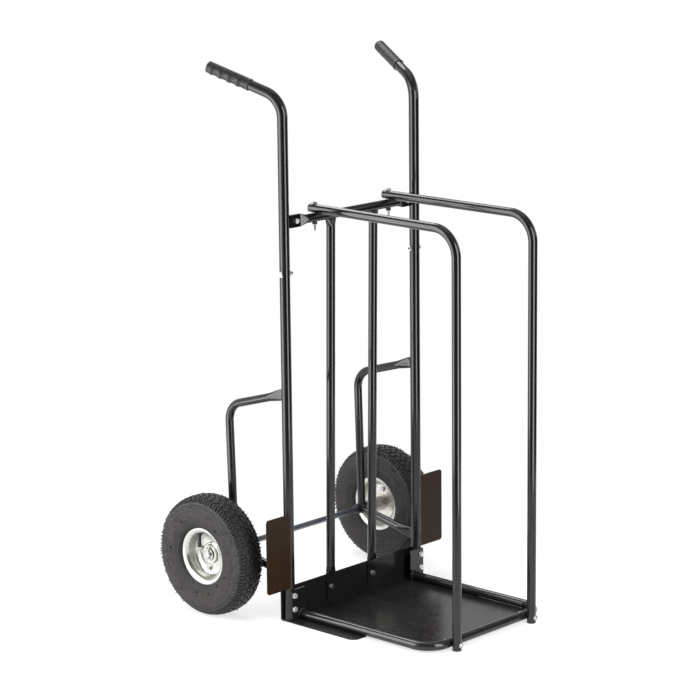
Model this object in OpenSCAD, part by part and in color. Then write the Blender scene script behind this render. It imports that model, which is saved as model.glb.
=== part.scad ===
// Fireside log cart: a tubular sack barrow with two pneumatic wheels and a bolt-on log basket.
// Millimetres. +Z is up, the axle runs along X, the log basket faces -Y and the handles +Y.
// The origin is on the ground, under the toe plate, midway between the axes of the two uprights.
// "left" is the -X side and "right" the +X side, as seen by someone facing the basket.

/* [Uprights] */
// Distance between the axes of the two uprights
upright_pitch = 403; // [360:1:440]
// Outside diameter of the uprights and of the handle tubes
upright_d = 22; // [20:0.5:25]
// Wall of every steel tube
tube_wall = 1.2; // [1:0.1:2]
// Height of the joint between upright and handle tube
joint_h = 764; // [720:1:790]
// Length of handle tube that reaches down inside the upright
swage_len = 45; // [35:1:60]
// Depth of the cross bolt below the joint
joint_bolt_drop = 19; // [15:1:28]

/* [Handles] */
// Height at which the upright's axis meets the axis of the bent handle
handle_corner_h = 1107; // [1060:1:1140]
// Height of the outer end of the handle tube
handle_end_h = 1168; // [1150:1:1200]
// Distance that the handle's end lies behind the uprights
handle_back = 152; // [120:1:190]
// Distance that each handle's end stands outboard of its upright
handle_splay = 59; // [20:1:80]
// Bend radius of the handle, on the tube's axis
handle_bend_r = 55; // [45:1:70]
// Length of tube inside the rubber grip
grip_len = 100; // [90:1:115]
// Thickness of the rubber round the tube
grip_wall = 1.3; // [1:0.1:3]
// Height of the finger ridges under the grip
grip_ridge = 1.5; // [1:0.1:3]
// Distance from one finger ridge to the next
grip_ridge_pitch = 21; // [18:0.5:24]

/* [Braces] */
// Outside diameter of the braces and lower struts
brace_d = 18; // [16:0.5:20]
// Height at which the brace's axis meets the upright's axis
brace_top_h = 492; // [440:1:540]
// Height of the brace's corner
brace_corner_h = 442; // [400:1:470]
// Distance of the brace's corner behind the uprights
brace_corner_back = 172; // [160:1:180]
// Bend radius of the brace, on the tube's axis
brace_bend_r = 44; // [35:1:55]
// Height at which the lower strut's axis meets the upright's axis
strut_low_h = 96; // [85:1:110]
// Thickness of a tube's end where it is pressed flat
flat_t = 4; // [3.5:0.1:6]

/* [Axle] */
// Diameter of the axle
axle_d = 13; // [12:0.5:16]
// Distance of the axle behind the uprights
axle_back = 163; // [155:1:175]
// Outside diameter of the sleeves that carry the axle
sleeve_d = 22; // [20:0.5:26]
// Length of each sleeve
sleeve_len = 40; // [30:1:44]
// Length of the spacer between sleeve and wheel
spacer_len = 6; // [4:0.5:10]
// Thickness of the washer outside the wheel
washer_t = 1.8; // [1.5:0.1:3]
// Diameter of the cotter pin
cotter_d = 3; // [2.5:0.1:4]

/* [Wheels] */
// Outside diameter of the tyre
tyre_d = 260; // [250:1:270]
// Width of the tyre
tyre_w = 76; // [72:1:82]
// Diameter of the rim over its flanges
rim_flange_d = 125; // [122:0.5:128]
// Width of the rim over its flanges
rim_w = 50; // [48:0.5:54]
// Thickness of the pressed rim halves
rim_t = 1.6; // [1.2:0.1:2]
// How far the rim's web stands inboard of the tyre's middle
rim_dish = 4.5; // [0:0.5:6]
// Outside diameter of the hub
hub_d = 38; // [36:0.5:42]
// Reach of the hub inboard of the tyre's middle
hub_in = 45; // [40:1:50]
// Reach of the hub outboard of the tyre's middle
hub_out = 4.5; // [4:0.5:8]
// Outside diameter of the bearings
bearing_d = 32; // [28:0.5:33]
// Width of each bearing
bearing_w = 10; // [8:0.5:12]
// Diameter of the circle of the rim bolts
rim_bolt_circle = 68; // [64:0.5:70]
// Length of the valve stem inside the rim
valve_len = 27; // [18:1:29]

/* [Toe plate] */
// Reach of the toe plate ahead of the uprights' axes
toe_reach = 197; // [160:1:240]
// Reach of the toe plate outboard of the uprights
toe_side = 3; // [0:0.5:12]
// Thickness of the toe plate
toe_t = 3; // [2.5:0.1:5]
// Height of the toe plate's upturned flange
flange_h = 69; // [66:1:90]
// Radius of the toe plate's front corners
toe_corner_r = 18; // [8:1:30]
// Width of each wheel guard
guard_w = 79; // [60:1:95]
// Height of each wheel guard
guard_h = 162; // [120:1:190]
// Height of the lower edge of the wheel guards
guard_low = 73; // [72:1:100]
// Thickness of the wheel guards
guard_t = 2; // [1.5:0.1:3]

/* [Log basket] */
// Outside diameter of the basket's tubes
basket_d = 19; // [16:0.5:21]
// Distance between the two hoops
hoop_pitch = 240; // [180:1:244]
// Distance of the hoops' posts ahead of the uprights' axes
hoop_reach = 395; // [340:1:450]
// Distance that the hoops run on behind the cross tube's axis
hoop_tail = 10; // [8:1:25]
// How far the hoops' rear ends stand inboard of their posts
hoop_toe_in = 6; // [0:0.5:10]
// Bend radius of the hoops, on the tube's axis
hoop_bend_r = 57; // [35:1:80]
// How far the hoops fall from the cross tube to their front bends
hoop_fall = 4; // [0:0.5:12]
// Distance between the side tubes of the base loop
loop_pitch = 358; // [350:1:366]
// Bend radius of the base loop, on the tube's axis
loop_bend_r = 48; // [30:1:49]
// Height of the cross tube's axis
cross_h = 853; // [830:1:900]
// Distance of the cross tube's axis ahead of the uprights' axes
cross_ahead = 3.5; // [3.4:0.1:5]
// Distance between the two back bars
bar_pitch = 131; // [90:1:170]
// Height of the top edge of the lugs on the uprights
lug_top = 70; // [66:1:71]
// Thickness of the lugs and of the tabs
lug_t = 3; // [2:0.1:4]
// Thickness of the sheet floor
tray_t = 1.2; // [1:0.1:2]
// Thickness of the plastic feet under the posts
foot_t = 3; // [2:0.1:5]

/* [Hidden] */
$fn = 48;
fit = 0.05;          // radial fit between a shaft and its hole
run_gap = 0.3;       // gap between the faces of a turning and a still piece
bolt_d = 6;          // shank of every bolt
bolt_af = 10;        // width across the flats of heads and nuts
bolt_head = 4;       // height of a bolt's head
nut_h = 5;           // height of a nut
hole_d = bolt_d + 0.5;
bend_swell = 0.2;    // extra diameter of a tube in its bends
press_step = 0.6;    // step in diameter where a pressed end runs into the round tube
bend_lap = 0.3;      // angle by which a bend laps over each straight end

ux = upright_pitch / 2;
upright_bore = upright_d - 2 * tube_wall;
swage_d = upright_bore - 2 * fit;
axle_h = tyre_d / 2;
spring = [handle_splay, handle_back, handle_end_h - handle_corner_h];
spring_len = norm(spring);
handle_turn = acos(spring[2] / spring_len);
handle_tangent = handle_bend_r * tan(handle_turn / 2);
handle_legs = [
    [handle_corner_h - joint_h - handle_tangent, handle_bend_r, handle_turn],
    [spring_len - handle_tangent]];
shoulder = 4;        // solid step of the handle tube that rests on the upright

brace_run = brace_corner_back;
brace_fall = brace_top_h - brace_corner_h;
brace_slope = atan(brace_fall / brace_run);
brace_lean = atan((brace_corner_back - axle_back) / (brace_corner_h - axle_h));
brace_turn = 90 + brace_lean - brace_slope;
brace_tangent = brace_bend_r * tan(brace_turn / 2);
brace_leg1 = norm([brace_run, brace_fall]) - brace_tangent;
brace_leg2 = norm([brace_corner_back - axle_back, brace_corner_h - axle_h]) - brace_tangent;
strut_len = norm([axle_back, axle_h - strut_low_h]);
strut_slope = atan((axle_h - strut_low_h) / axle_back);
press_len = 4;       // flat length at a brace's end, measured from the upright's skin
brace_blend = 40;    // length over which a brace swells from flat to round
press_blend = 16;    // length over which the cross tube swells from flat to round

wheel_x = ux + sleeve_len / 2 + spacer_len + run_gap + hub_in;
axle_half = wheel_x + hub_out + run_gap + washer_t + cotter_d + 2.7;

toe_half = ux + upright_d / 2 + toe_side;
flange_y = upright_d / 2;          // front face of the flange, on the uprights' back
plate_y = -upright_d / 2;          // plane of the uprights' front line
guard_lap = 3;                     // guard's reach past the upright's axis, towards the middle
guard_y = plate_y + 3.6;           // back face of the guards

loop_z = toe_t + basket_d / 2;
loop_y = -(hoop_reach - basket_d);
loop_x = loop_pitch / 2;
lug_face = plate_y - lug_t;
lug_bolt_h = [26, 56];
hoop_x = hoop_pitch / 2;
hoop_rear_x = hoop_x - hoop_toe_in;
cross_y = -cross_ahead;
hoop_tilt = atan(hoop_fall / (hoop_reach + cross_y));
hoop_z = cross_h + basket_d / cos(hoop_tilt);
hoop_seat = basket_d / 2 + bolt_af / 2 * tan(hoop_tilt);
flat_w = 1.42 * basket_d;          // width of a tube that is pressed flat
brace_flat_w = 1.33 * brace_d;
tab_reach = 33;                    // reach of a tab inboard of the handle tube's skin
tab_x = ux - upright_d / 2 - tab_reach;
tab_bolt_x = tab_x + 14;
bar_x = bar_pitch / 2;
bar_foot_y = flange_y - flat_t / 2;
bar_bolt_h = 40;
bar_flat = [15, flange_h + 1];     // heights of the flat foot of a back bar
bar_blend = 18;
drain_d = 4;

rim_r = rim_flange_d / 2;
seat_r = rim_r - 13;               // outside of the rim's barrel
web_r = rim_r - 21;                // edge of the flat web
hub_flange_r = rim_bolt_circle / 2 + 6;
hub_flange_t = 3;
rim_bolt_turn = 14;
valve_turn = 58;
grip_turn = -40;     // angle of the grips' ridges from the plane of the handle's bend

steel = "#1b1b1d";
zinc = "#c9c9c2";
rubber = "#3a3836";
grey_rod = "#6d7480";
plastic = "#161616";

// ---- shared shapes ----

// Draws its children, made for the right side, on side s: 1 is right and -1 is left.
module on_side(s) {
    if (s < 0) mirror([1, 0, 0]) children();
    else children();
}

module both_sides() {
    children();
    mirror([1, 0, 0]) children();
}

// Quarter-turn or less of round bar that starts along +Z and turns towards +X. It is a little
// thicker than the straight bar and laps over the ends of the legs that it joins.
module elbow(r, turn, od) {
    translate([r, 0, 0]) rotate([90, 0, 0]) rotate([0, 0, 180 - turn - bend_lap])
        rotate_extrude(angle = turn + 2 * bend_lap) translate([r, 0]) circle(d = od + bend_swell);
}

// Moves its children past leg i of a bent run and round the bend that ends it.
module past_bend(leg) {
    translate([leg[1] * (1 - cos(leg[2])), 0, leg[0] + leg[1] * sin(leg[2])])
        rotate([0, leg[2], 0]) children();
}

// Round bar along +Z that turns towards +X: each leg is [length, bend radius, angle], the last [length].
module bent_bar(legs, od, over = 0, i = 0) {
    leg = legs[i];
    first = i == 0;
    last = i == len(legs) - 1;
    translate([0, 0, first ? -over : 0])
        cylinder(d = od, h = leg[0] + (first ? over : 0) + (last ? over : 0));
    if (!last) {
        translate([0, 0, leg[0]]) elbow(leg[1], leg[2], od);
        past_bend(leg) bent_bar(legs, od, over, i + 1);
    }
}

module bent_tube(legs, od, wall = tube_wall) {
    difference() {
        bent_bar(legs, od);
        bent_bar(legs, od - 2 * wall, 1);
    }
}

// Pressed tube end along +Z: flat for len, wide along X and thin along Y, then swelling to round.
module pressed_end(od, wide, len, blend) {
    translate([-wide / 2, -flat_t / 2, 0]) cube([wide, flat_t, len]);
    hull() {
        translate([-wide / 2, -flat_t / 2, len - 0.5]) cube([wide, flat_t, 0.5]);
        translate([0, 0, len + blend]) cylinder(d = od - press_step, h = 0.5, $fn = 32);
    }
}

module round_rect(w, h, r) {
    for (x = [-1, 1], y = [-1, 1])
        translate([x * (w / 2 - r), y * (h / 2 - r)]) circle(r = r);
    square([w - 2 * r, h], center = true);
    square([w, h - 2 * r], center = true);
}

// Bolt along +Z with its head below z = 0.
module bolt(len) {
    translate([0, 0, -bolt_head]) cylinder(d = bolt_af / cos(30), h = bolt_head, $fn = 6);
    cylinder(d = bolt_d, h = len);
}

module nut(h = nut_h) {
    difference() {
        cylinder(d = bolt_af / cos(30), h = h, $fn = 6);
        translate([0, 0, -1]) cylinder(d = bolt_d + 2 * fit, h = h + 2);
    }
}

// Closed nut with a domed end, on +Z.
module dome_nut() {
    difference() {
        union() {
            cylinder(d = bolt_af / cos(30), h = 2.7, $fn = 6);
            intersection() {
                translate([0, 0, -0.2]) sphere(r = 5.6);
                cylinder(d = bolt_af - 0.4, h = bolt_af);
            }
        }
        translate([0, 0, -1]) cylinder(d = bolt_d + 2 * fit, h = 5);
    }
}

// Turns +Z to -Y, for what is bolted from behind towards the front.
module facing_front() {
    rotate([90, 0, 0]) children();
}

// Turns +Z to +Y, for what is bolted from the front towards the back.
module facing_back() {
    rotate([-90, 0, 0]) children();
}

// ---- barrow frame ----

module upright(s) {
    color(steel) on_side(s) difference() {
        translate([ux, 0, toe_t]) bent_tube([[joint_h - toe_t]], upright_d);
        joint_bore();
        for (z = lug_bolt_h) lug_bore(z);
    }
}

module joint_bore() {
    translate([ux, 0, joint_h - joint_bolt_drop]) rotate([0, 90, 0])
        cylinder(d = hole_d, h = 2 * upright_d, center = true);
}

module lug_bore(z) {
    translate([ux, 0, z]) facing_front()
        cylinder(d = hole_d, h = 2 * upright_d, center = true);
}

// Places its children at the foot of the handle tube, with +X towards the handle's splay.
module at_handle() {
    translate([ux, 0, joint_h]) rotate([0, 0, atan2(spring[1], spring[0])]) children();
}

module handle(s) {
    color(steel) on_side(s) difference() {
        union() {
            at_handle() bent_bar(handle_legs, upright_d);
            translate([ux, 0, joint_h - swage_len]) cylinder(d = swage_d, h = swage_len + 1);
        }
        at_handle() difference() {
            bent_bar(handle_legs, upright_bore, 1);
            translate([0, 0, -2]) cylinder(d = upright_d, h = 2 + shoulder);
        }
        translate([ux, 0, joint_h - swage_len - 1])
            cylinder(d = swage_d - 2 * tube_wall, h = swage_len + shoulder + 2);
        joint_bore();
    }
}

// Places its children at the start of the straight, splayed part of the handle, along its axis.
module at_grip() {
    at_handle() past_bend(handle_legs[0])
        translate([0, 0, handle_legs[1][0] - grip_len]) children();
}

module grip(s) {
    cap = 3;
    grip_d = upright_d + 2 * grip_wall;
    color(rubber) on_side(s) at_grip() difference() {
        union() {
            cylinder(d = grip_d, h = grip_len + cap - 2);
            translate([0, 0, grip_len + cap - 2]) cylinder(d1 = grip_d, d2 = grip_d - 5, h = 2);
            cylinder(d = grip_d + 1.4, h = 4);
            rotate([0, 0, grip_turn]) for (i = [0:3])
                translate([grip_ridge, 0, 22 + i * grip_ridge_pitch])
                    cylinder(d = grip_d, h = 7);
        }
        translate([0, 0, -1]) cylinder(d = upright_d + 2 * fit, h = grip_len + 1);
    }
}

module brace(s) {
    start = upright_d / 2 - 4;
    flat_end = upright_d / 2 + press_len;
    round_from = flat_end + brace_blend;
    color(steel) on_side(s) difference() {
        translate([ux, 0, brace_top_h]) rotate([0, 0, 90]) rotate([0, 90 + brace_slope, 0]) {
            translate([0, 0, start]) pressed_end(brace_d, brace_flat_w, flat_end - start, brace_blend);
            translate([0, 0, round_from]) bent_tube(
                [[brace_leg1 - round_from, brace_bend_r, brace_turn], [brace_leg2]], brace_d);
        }
        translate([ux, 0, brace_top_h]) cylinder(d = upright_d, h = 120, center = true);
        at_axle(ux) cylinder(d = sleeve_d, h = 2 * brace_d, center = true);
    }
}

module strut(s) {
    flat_end = upright_d / 2 + press_len;
    round_from = flat_end + brace_blend;
    start = upright_d / 2 - 4;
    color(steel) on_side(s) difference() {
        translate([ux, 0, strut_low_h]) rotate([0, 0, 90]) rotate([0, 90 - strut_slope, 0]) {
            translate([0, 0, start]) pressed_end(brace_d, brace_flat_w, flat_end - start, brace_blend);
            translate([0, 0, round_from]) bent_tube([[strut_len - round_from]], brace_d);
        }
        translate([ux, 0, strut_low_h]) cylinder(d = upright_d, h = 120, center = true);
        at_axle(ux) cylinder(d = sleeve_d, h = 2 * brace_d, center = true);
    }
}

// Turns +Z to +X and sets its children on the axle's line, at distance x from the middle.
module at_axle(x) {
    translate([x, axle_back, axle_h]) rotate([0, 90, 0]) rotate([0, 0, 90]) children();
}

module sleeve(s) {
    color(steel) on_side(s) at_axle(ux - sleeve_len / 2) difference() {
        cylinder(d = sleeve_d, h = sleeve_len);
        translate([0, 0, -1]) cylinder(d = axle_d + 2 * fit, h = sleeve_len + 2);
    }
}

module guard(s) {
    inner = ux - guard_lap;
    color(steel) on_side(s) difference() {
        translate([inner + guard_w / 2, guard_y, guard_low + guard_h / 2]) facing_front()
            linear_extrude(guard_t) round_rect(guard_w, guard_h, 7);
        translate([ux, 0, guard_low - 5]) cylinder(d = upright_d, h = guard_h + 10);
    }
}

module toe_plate() {
    bend = toe_t + 1;              // outer radius of the fold along the back
    back = flange_y + toe_t;
    depth = toe_reach + back + toe_corner_r;
    color(steel) difference() {
        union() {
            intersection() {
                translate([0, (back - bend - toe_reach) / 2, 0]) linear_extrude(toe_t)
                    square([2 * toe_half, back - bend + toe_reach], center = true);
                translate([0, depth / 2 - toe_reach, -1]) linear_extrude(toe_t + 2)
                    round_rect(2 * toe_half, depth, toe_corner_r);
            }
            translate([0, back, bend + (flange_h - bend) / 2]) facing_front() linear_extrude(toe_t)
                square([2 * toe_half, flange_h - bend], center = true);
            translate([-toe_half, back - bend, bend]) rotate([0, 90, 0]) intersection() {
                cylinder(r = bend, h = 2 * toe_half);
                cube([bend, bend, 2 * toe_half]);
            }
        }
        translate([-toe_half - 1, flange_y - 1, toe_t]) cube([2 * toe_half + 2, 1, 2]);
        for (s = [-1, 1]) on_side(s) {
            for (z = lug_bolt_h) lug_bore(z);
            bar_bore();
        }
    }
}

// ---- axle and what stays still on it ----

module axle() {
    color(grey_rod) difference() {
        at_axle(-axle_half) {
            translate([0, 0, 1]) cylinder(d = axle_d, h = 2 * axle_half - 2);
            cylinder(d1 = axle_d - 2, d2 = axle_d, h = 1);
            translate([0, 0, 2 * axle_half - 1]) cylinder(d1 = axle_d, d2 = axle_d - 2, h = 1);
        }
        both_sides() at_cotter() cylinder(d = cotter_d + 2 * fit, h = 2 * axle_d, center = true);
    }
}

module at_cotter() {
    translate([wheel_x + hub_out + run_gap + washer_t + cotter_d / 2, axle_back, axle_h]) children();
}

module axle_spacers() {
    color(zinc) both_sides() at_axle(ux + sleeve_len / 2) difference() {
        cylinder(d = sleeve_d - 2, h = spacer_len);
        translate([0, 0, -1]) cylinder(d = axle_d + 2 * fit, h = spacer_len + 2);
    }
}

module axle_washers() {
    color(zinc) both_sides() at_axle(wheel_x + hub_out + run_gap) difference() {
        cylinder(d = 2 * axle_d - 2, h = washer_t);
        translate([0, 0, -1]) cylinder(d = axle_d + 2 * fit, h = washer_t + 2);
    }
}

module cotter_pins() {
    leg = axle_d / 2 + 5;
    color(zinc) both_sides() at_cotter() {
        translate([0, 0, -leg]) cylinder(d = cotter_d, h = 2 * leg);
        translate([0, 0, leg + 2]) rotate([0, 90, 0]) rotate_extrude() translate([3, 0])
            circle(d = cotter_d);
    }
}

// ---- wheels ----

// Sets a wheel's parts on side s: +Z is the axle, pointing outboard from the tyre's middle.
module at_wheel(s) {
    on_side(s) at_axle(wheel_x) children();
}

function soft_ring(half_w, half_h, mid, from, to, step, power) = [
    for (t = [from:step:to])
        [mid + half_h * sign(sin(t)) * pow(abs(sin(t)), power),
         half_w * sign(cos(t)) * pow(abs(cos(t)), power)]];

function turn_back(points) = [for (i = [len(points) - 1:-1:0]) points[i]];

function flip_side(points) = [for (p = turn_back(points)) [p[0], -p[1]]];

module tyre(s) {
    crown = tyre_d / 2;
    half_w = tyre_w / 2;
    lip = rim_w / 2 - 4.3;         // the bead stays inside the rim's flanges
    bead = [
        [seat_r + 0.4, lip - 6], [seat_r + 0.6, lip - 2.5], [seat_r + 3, lip],
        [rim_r - 2, lip], [rim_r + 1.2, lip + 3]];
    skin = soft_ring(half_w, (crown - seat_r - 1.5) / 2, (crown + seat_r + 1.5) / 2, -36, 216, 7, 0.8);
    bead_in = [[rim_r - 8, lip - 6], [rim_r - 1, lip - 4], [rim_r + 6, lip + 4]];
    inside = soft_ring(half_w - 4.8, (crown - 9 - seat_r - 3.5) / 2, (crown - 9 + seat_r + 3.5) / 2,
        -15, 195, 7, 0.8);
    color(rubber) at_wheel(s) rotate_extrude($fn = 96) polygon(concat(
        bead, skin, flip_side(bead), turn_back(concat(bead_in, inside, flip_side(bead_in)))));
}

module inner_tube(s) {
    crown = tyre_d / 2 - 9.5;
    foot = rim_r - 4;
    half_w = tyre_w / 2 - 5.3;
    half_h = (crown - foot) / 2;
    wall = 2;
    stem = valve_len + 13;
    color(rubber) at_wheel(s) difference() {
        union() {
            rotate_extrude($fn = 96)
                polygon(soft_ring(half_w, half_h, (crown + foot) / 2, 0, 350, 10, 1));
            at_valve() {
                translate([0, 0, -1.5]) cylinder(d = 8, h = stem + 1.5);
                translate([0, 0, stem]) cylinder(d = 6, h = 2);
            }
        }
        rotate_extrude($fn = 96)
            polygon(soft_ring(half_w - wall, half_h - wall, (crown + foot) / 2, 0, 350, 10, 1));
        at_valve() translate([0, 0, -5]) cylinder(d = 3, h = stem + 10);
    }
}

// Start of the valve stem in the inner tube's foot, with +Z leading inwards and a little outboard.
module at_valve() {
    rotate([0, 0, valve_turn]) translate([rim_r - 3, 0, 2]) rotate([0, -61, 0]) children();
}

// Half rim, pressed from sheet: flat web, barrel and rolled flange, outboard of z = 0.
module rim_half(valve_hole, web_at) {
    t = rim_t;
    lip = rim_w / 2;
    difference() {
        rotate_extrude($fn = 96) polygon([
            [hub_d / 2 + fit, web_at], [web_r, web_at], [seat_r - 1.5, web_at + 3.5], [seat_r, lip - 6.5],
            [seat_r + 2.3, lip - 3.9], [rim_r - 5, lip - t], [rim_r - 1, lip - t - 0.3],
            [rim_r, lip - t / 2 - 0.3], [rim_r - 0.8, lip], [rim_r - 5.5, lip],
            [seat_r + 1, lip - 2.7], [seat_r - t, lip - 6], [seat_r - 3.2, web_at + t + 3.2],
            [web_r - 1, web_at + t], [hub_d / 2 + fit, web_at + t]]);
        rim_bolt_places() cylinder(d = hole_d, h = 20, center = true);
        if (valve_hole) at_valve() cylinder(d = 8 + 2 * fit + 1, h = 40);
    }
}

module rim_bolt_places() {
    for (i = [0:3])
        rotate([0, 0, rim_bolt_turn + 90 * i]) translate([rim_bolt_circle / 2, 0, 0]) children();
}

module rim_outer(s) {
    color(zinc) at_wheel(s) rim_half(true, -rim_dish);
}

module rim_inner(s) {
    color(zinc) at_wheel(s) mirror([0, 0, 1]) rim_half(false, rim_dish);
}

module hub(s) {
    seat = bearing_w + 0.5;
    color(zinc) at_wheel(s) difference() {
        union() {
            translate([0, 0, -hub_in]) cylinder(d = hub_d, h = hub_in + hub_out);
            translate([0, 0, -rim_dish - rim_t - hub_flange_t])
                cylinder(r = hub_flange_r, h = hub_flange_t);
        }
        translate([0, 0, -hub_in - 1]) cylinder(d = bearing_d - 5, h = hub_in + hub_out + 2);
        translate([0, 0, hub_out - seat]) cylinder(d = bearing_d, h = seat + 1);
        translate([0, 0, -hub_in - 1]) cylinder(d = bearing_d, h = seat + 1);
        rim_bolt_places() cylinder(d = hole_d, h = 30, center = true);
    }
}

module bearings(s) {
    color("#9a9a9a") at_wheel(s)
        for (z = [hub_out - 0.5 - bearing_w, -hub_in + 0.5])
            translate([0, 0, z]) rotate_extrude() difference() {
                translate([axle_d / 2 + fit, 0]) square([bearing_d / 2 - axle_d / 2 - fit, bearing_w]);
                for (face = [-0.1, bearing_w - 0.9])
                    translate([axle_d / 2 + 3, face]) square([bearing_d / 2 - axle_d / 2 - 5.5, 1]);
            }
}

module rim_bolts(s) {
    back = -rim_dish - rim_t - hub_flange_t;
    front = rim_t - rim_dish;
    color(zinc) at_wheel(s) rim_bolt_places() {
        translate([0, 0, back]) bolt(front - back + nut_h + 1);
        translate([0, 0, front]) cylinder(d = bolt_af / cos(30), h = nut_h, $fn = 6);
    }
}

// ---- log basket ----

module lug_plate(s) {
    outer = ux + upright_d / 2 - 3;
    inner = loop_x - basket_d / 2 - 2;
    low = toe_t + 0.5;
    color(steel) on_side(s) difference() {
        translate([(inner + outer) / 2, plate_y, (low + lug_top) / 2]) facing_front()
            linear_extrude(lug_t) round_rect(outer - inner, lug_top - low, 4);
        for (z = lug_bolt_h) lug_bore(z);
    }
}

module base_loop() {
    side = lug_face - loop_y - loop_bend_r;
    front = loop_pitch - 2 * loop_bend_r;
    color(steel) difference() {
        translate([-loop_x, lug_face, loop_z]) rotate([90, 0, 0]) bent_tube([
            [side, loop_bend_r, 90], [front, loop_bend_r, 90], [side]], basket_d);
        both_sides() foot_bore();
    }
}

module foot_bore() {
    translate([hoop_x, -hoop_reach + basket_d / 2, loop_z]) facing_front()
        cylinder(d = hole_d, h = 3 * basket_d, center = true);
}

module floor_tray() {
    inset = sqrt(pow(basket_d / 2, 2) - pow(basket_d / 2 - tray_t, 2)) + 0.3;
    half = loop_x - inset;
    front = loop_y + inset;
    back = lug_face - 1;
    corner = loop_bend_r - inset;
    color(steel) translate([0, 0, toe_t]) linear_extrude(tray_t) {
        translate([-half, front + corner]) square([2 * half, back - front - corner]);
        translate([-half + corner, front]) square([2 * (half - corner), corner]);
        for (x = [-1, 1]) translate([x * (half - corner), front + corner]) circle(r = corner);
    }
}

module hoop(s) {
    turn = 90 - hoop_tilt;
    tangent = hoop_bend_r * tan(turn / 2);
    run = (hoop_reach + cross_y + hoop_tail) / cos(hoop_tilt) - tangent;
    drop = hoop_z - hoop_fall - tangent - foot_t;
    color(steel) on_side(s) difference() {
        at_hoop_end() rotate([0, 0, -90]) rotate([0, 90, 0])
            bent_tube([[run, hoop_bend_r, turn], [drop]], basket_d);
        hoop_bore();
        foot_bore();
    }
}

// Turns a hoop about its post, so that its rear end stands inboard.
module toed_in() {
    translate([hoop_x, -hoop_reach, 0]) rotate([0, 0, atan(hoop_toe_in / (hoop_reach + cross_y))])
        translate([-hoop_x, hoop_reach, 0]) children();
}

// Sets its children on the rear end of a hoop, with +Y along the hoop's axis.
module at_hoop_end() {
    toed_in() translate([hoop_x, cross_y + hoop_tail, hoop_z + hoop_tail * tan(hoop_tilt)])
        rotate([hoop_tilt, 0, 0]) children();
}

module hoop_bore() {
    translate([hoop_rear_x, cross_y, cross_h - basket_d])
        cylinder(d = hole_d, h = 4 * basket_d);
}

// Plastic cap in the open rear end of each hoop.
module hoop_caps() {
    plug = basket_d - 2 * tube_wall - 2 * fit;
    color(plastic) both_sides() at_hoop_end() rotate([-90, 0, 0]) {
        translate([0, 0, -7]) cylinder(d = plug, h = 7);
        cylinder(d = basket_d, h = 1.5);
        translate([0, 0, 1.5]) cylinder(d1 = basket_d, d2 = basket_d - 4, h = 1);
    }
}

// Plastic foot under each post.
module hoop_feet() {
    plug = basket_d - 2 * tube_wall - 2 * fit;
    color(plastic) both_sides() translate([hoop_x, -hoop_reach, 0]) {
        cylinder(d = basket_d, h = foot_t);
        translate([0, 0, foot_t]) cylinder(d = plug, h = loop_z - hole_d / 2 - foot_t - 1);
    }
}

module cross_tube() {
    round_half = tab_x - press_blend;
    flat_len = tab_reach - 3;
    color(steel) difference() {
        union() {
            translate([-round_half, cross_y, cross_h]) rotate([0, 90, 0])
                bent_tube([[2 * round_half]], basket_d);
            both_sides() translate([tab_x + flat_len, cross_y, cross_h]) rotate([0, -90, 0])
                pressed_end(basket_d, flat_w, flat_len, press_blend);
        }
        both_sides() {
            hoop_bore();
            tab_bore();
        }
    }
}

module tab_bore() {
    translate([tab_bolt_x, 0, cross_h]) facing_front()
        cylinder(d = hole_d, h = 40, center = true);
}

// Flat tab on the inboard side of a handle tube that carries the cross tube's end.
module tab(s) {
    back = cross_y + flat_t / 2;
    color(steel) on_side(s) difference() {
        translate([tab_x, back, cross_h - flat_w / 2]) cube([tab_reach + 4, lug_t, flat_w]);
        translate([ux, 0, cross_h]) cylinder(d = upright_d, h = 2 * flat_w, center = true);
        tab_bore();
    }
}

// Drain hole in the back of a back bar, just above its pressed foot.
module bar_drain() {
    translate([bar_x, flange_y, bar_flat[1] + bar_blend + 10]) facing_back()
        cylinder(d = drain_d, h = basket_d, center = true);
}

module back_bar(s) {
    low = bar_flat[1] + bar_blend;
    top_len = 24;
    high = cross_h - top_len;
    lean = atan((bar_foot_y - cross_y) / (high - low));
    run = norm([bar_foot_y - cross_y, high - low]);
    color(steel) on_side(s) difference() {
        union() {
            translate([bar_x, bar_foot_y, bar_flat[0]])
                pressed_end(basket_d, flat_w, bar_flat[1] - bar_flat[0], bar_blend);
            translate([bar_x, bar_foot_y, low]) rotate([lean, 0, 0])
                bent_tube([[run]], basket_d);
            hull() {
                translate([bar_x, cross_y, high - 0.5])
                    cylinder(d = basket_d - press_step, h = 1, $fn = 32);
                translate([bar_x - flat_w / 2, cross_y - 3, cross_h - basket_d / 2 - 1])
                    cube([flat_w, 6, 4]);
            }
        }
        translate([bar_x, cross_y, cross_h]) rotate([0, 90, 0])
            cylinder(d = basket_d, h = 2 * flat_w, center = true);
        bar_bore();
        bar_drain();
    }
}

module bar_bore() {
    translate([bar_x, flange_y, bar_bolt_h]) facing_front()
        cylinder(d = hole_d, h = 30, center = true);
}

// ---- fasteners ----

module joint_bolts() {
    color(zinc) both_sides()
        translate([ux + upright_d / 2, 0, joint_h - joint_bolt_drop]) rotate([0, -90, 0])
            bolt(upright_d + nut_h + 7);
}

module joint_nuts() {
    color(zinc) both_sides()
        translate([ux - upright_d / 2, 0, joint_h - joint_bolt_drop]) rotate([0, -90, 0]) nut();
}

module tab_bolts() {
    grip = lug_t + flat_t;
    color(zinc) both_sides()
        translate([tab_bolt_x, cross_y + flat_t / 2 + lug_t, cross_h]) facing_front()
            bolt(grip + nut_h + 2);
}

module tab_nuts() {
    color(zinc) both_sides()
        translate([tab_bolt_x, cross_y - flat_t / 2, cross_h]) facing_front() nut();
}

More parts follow.
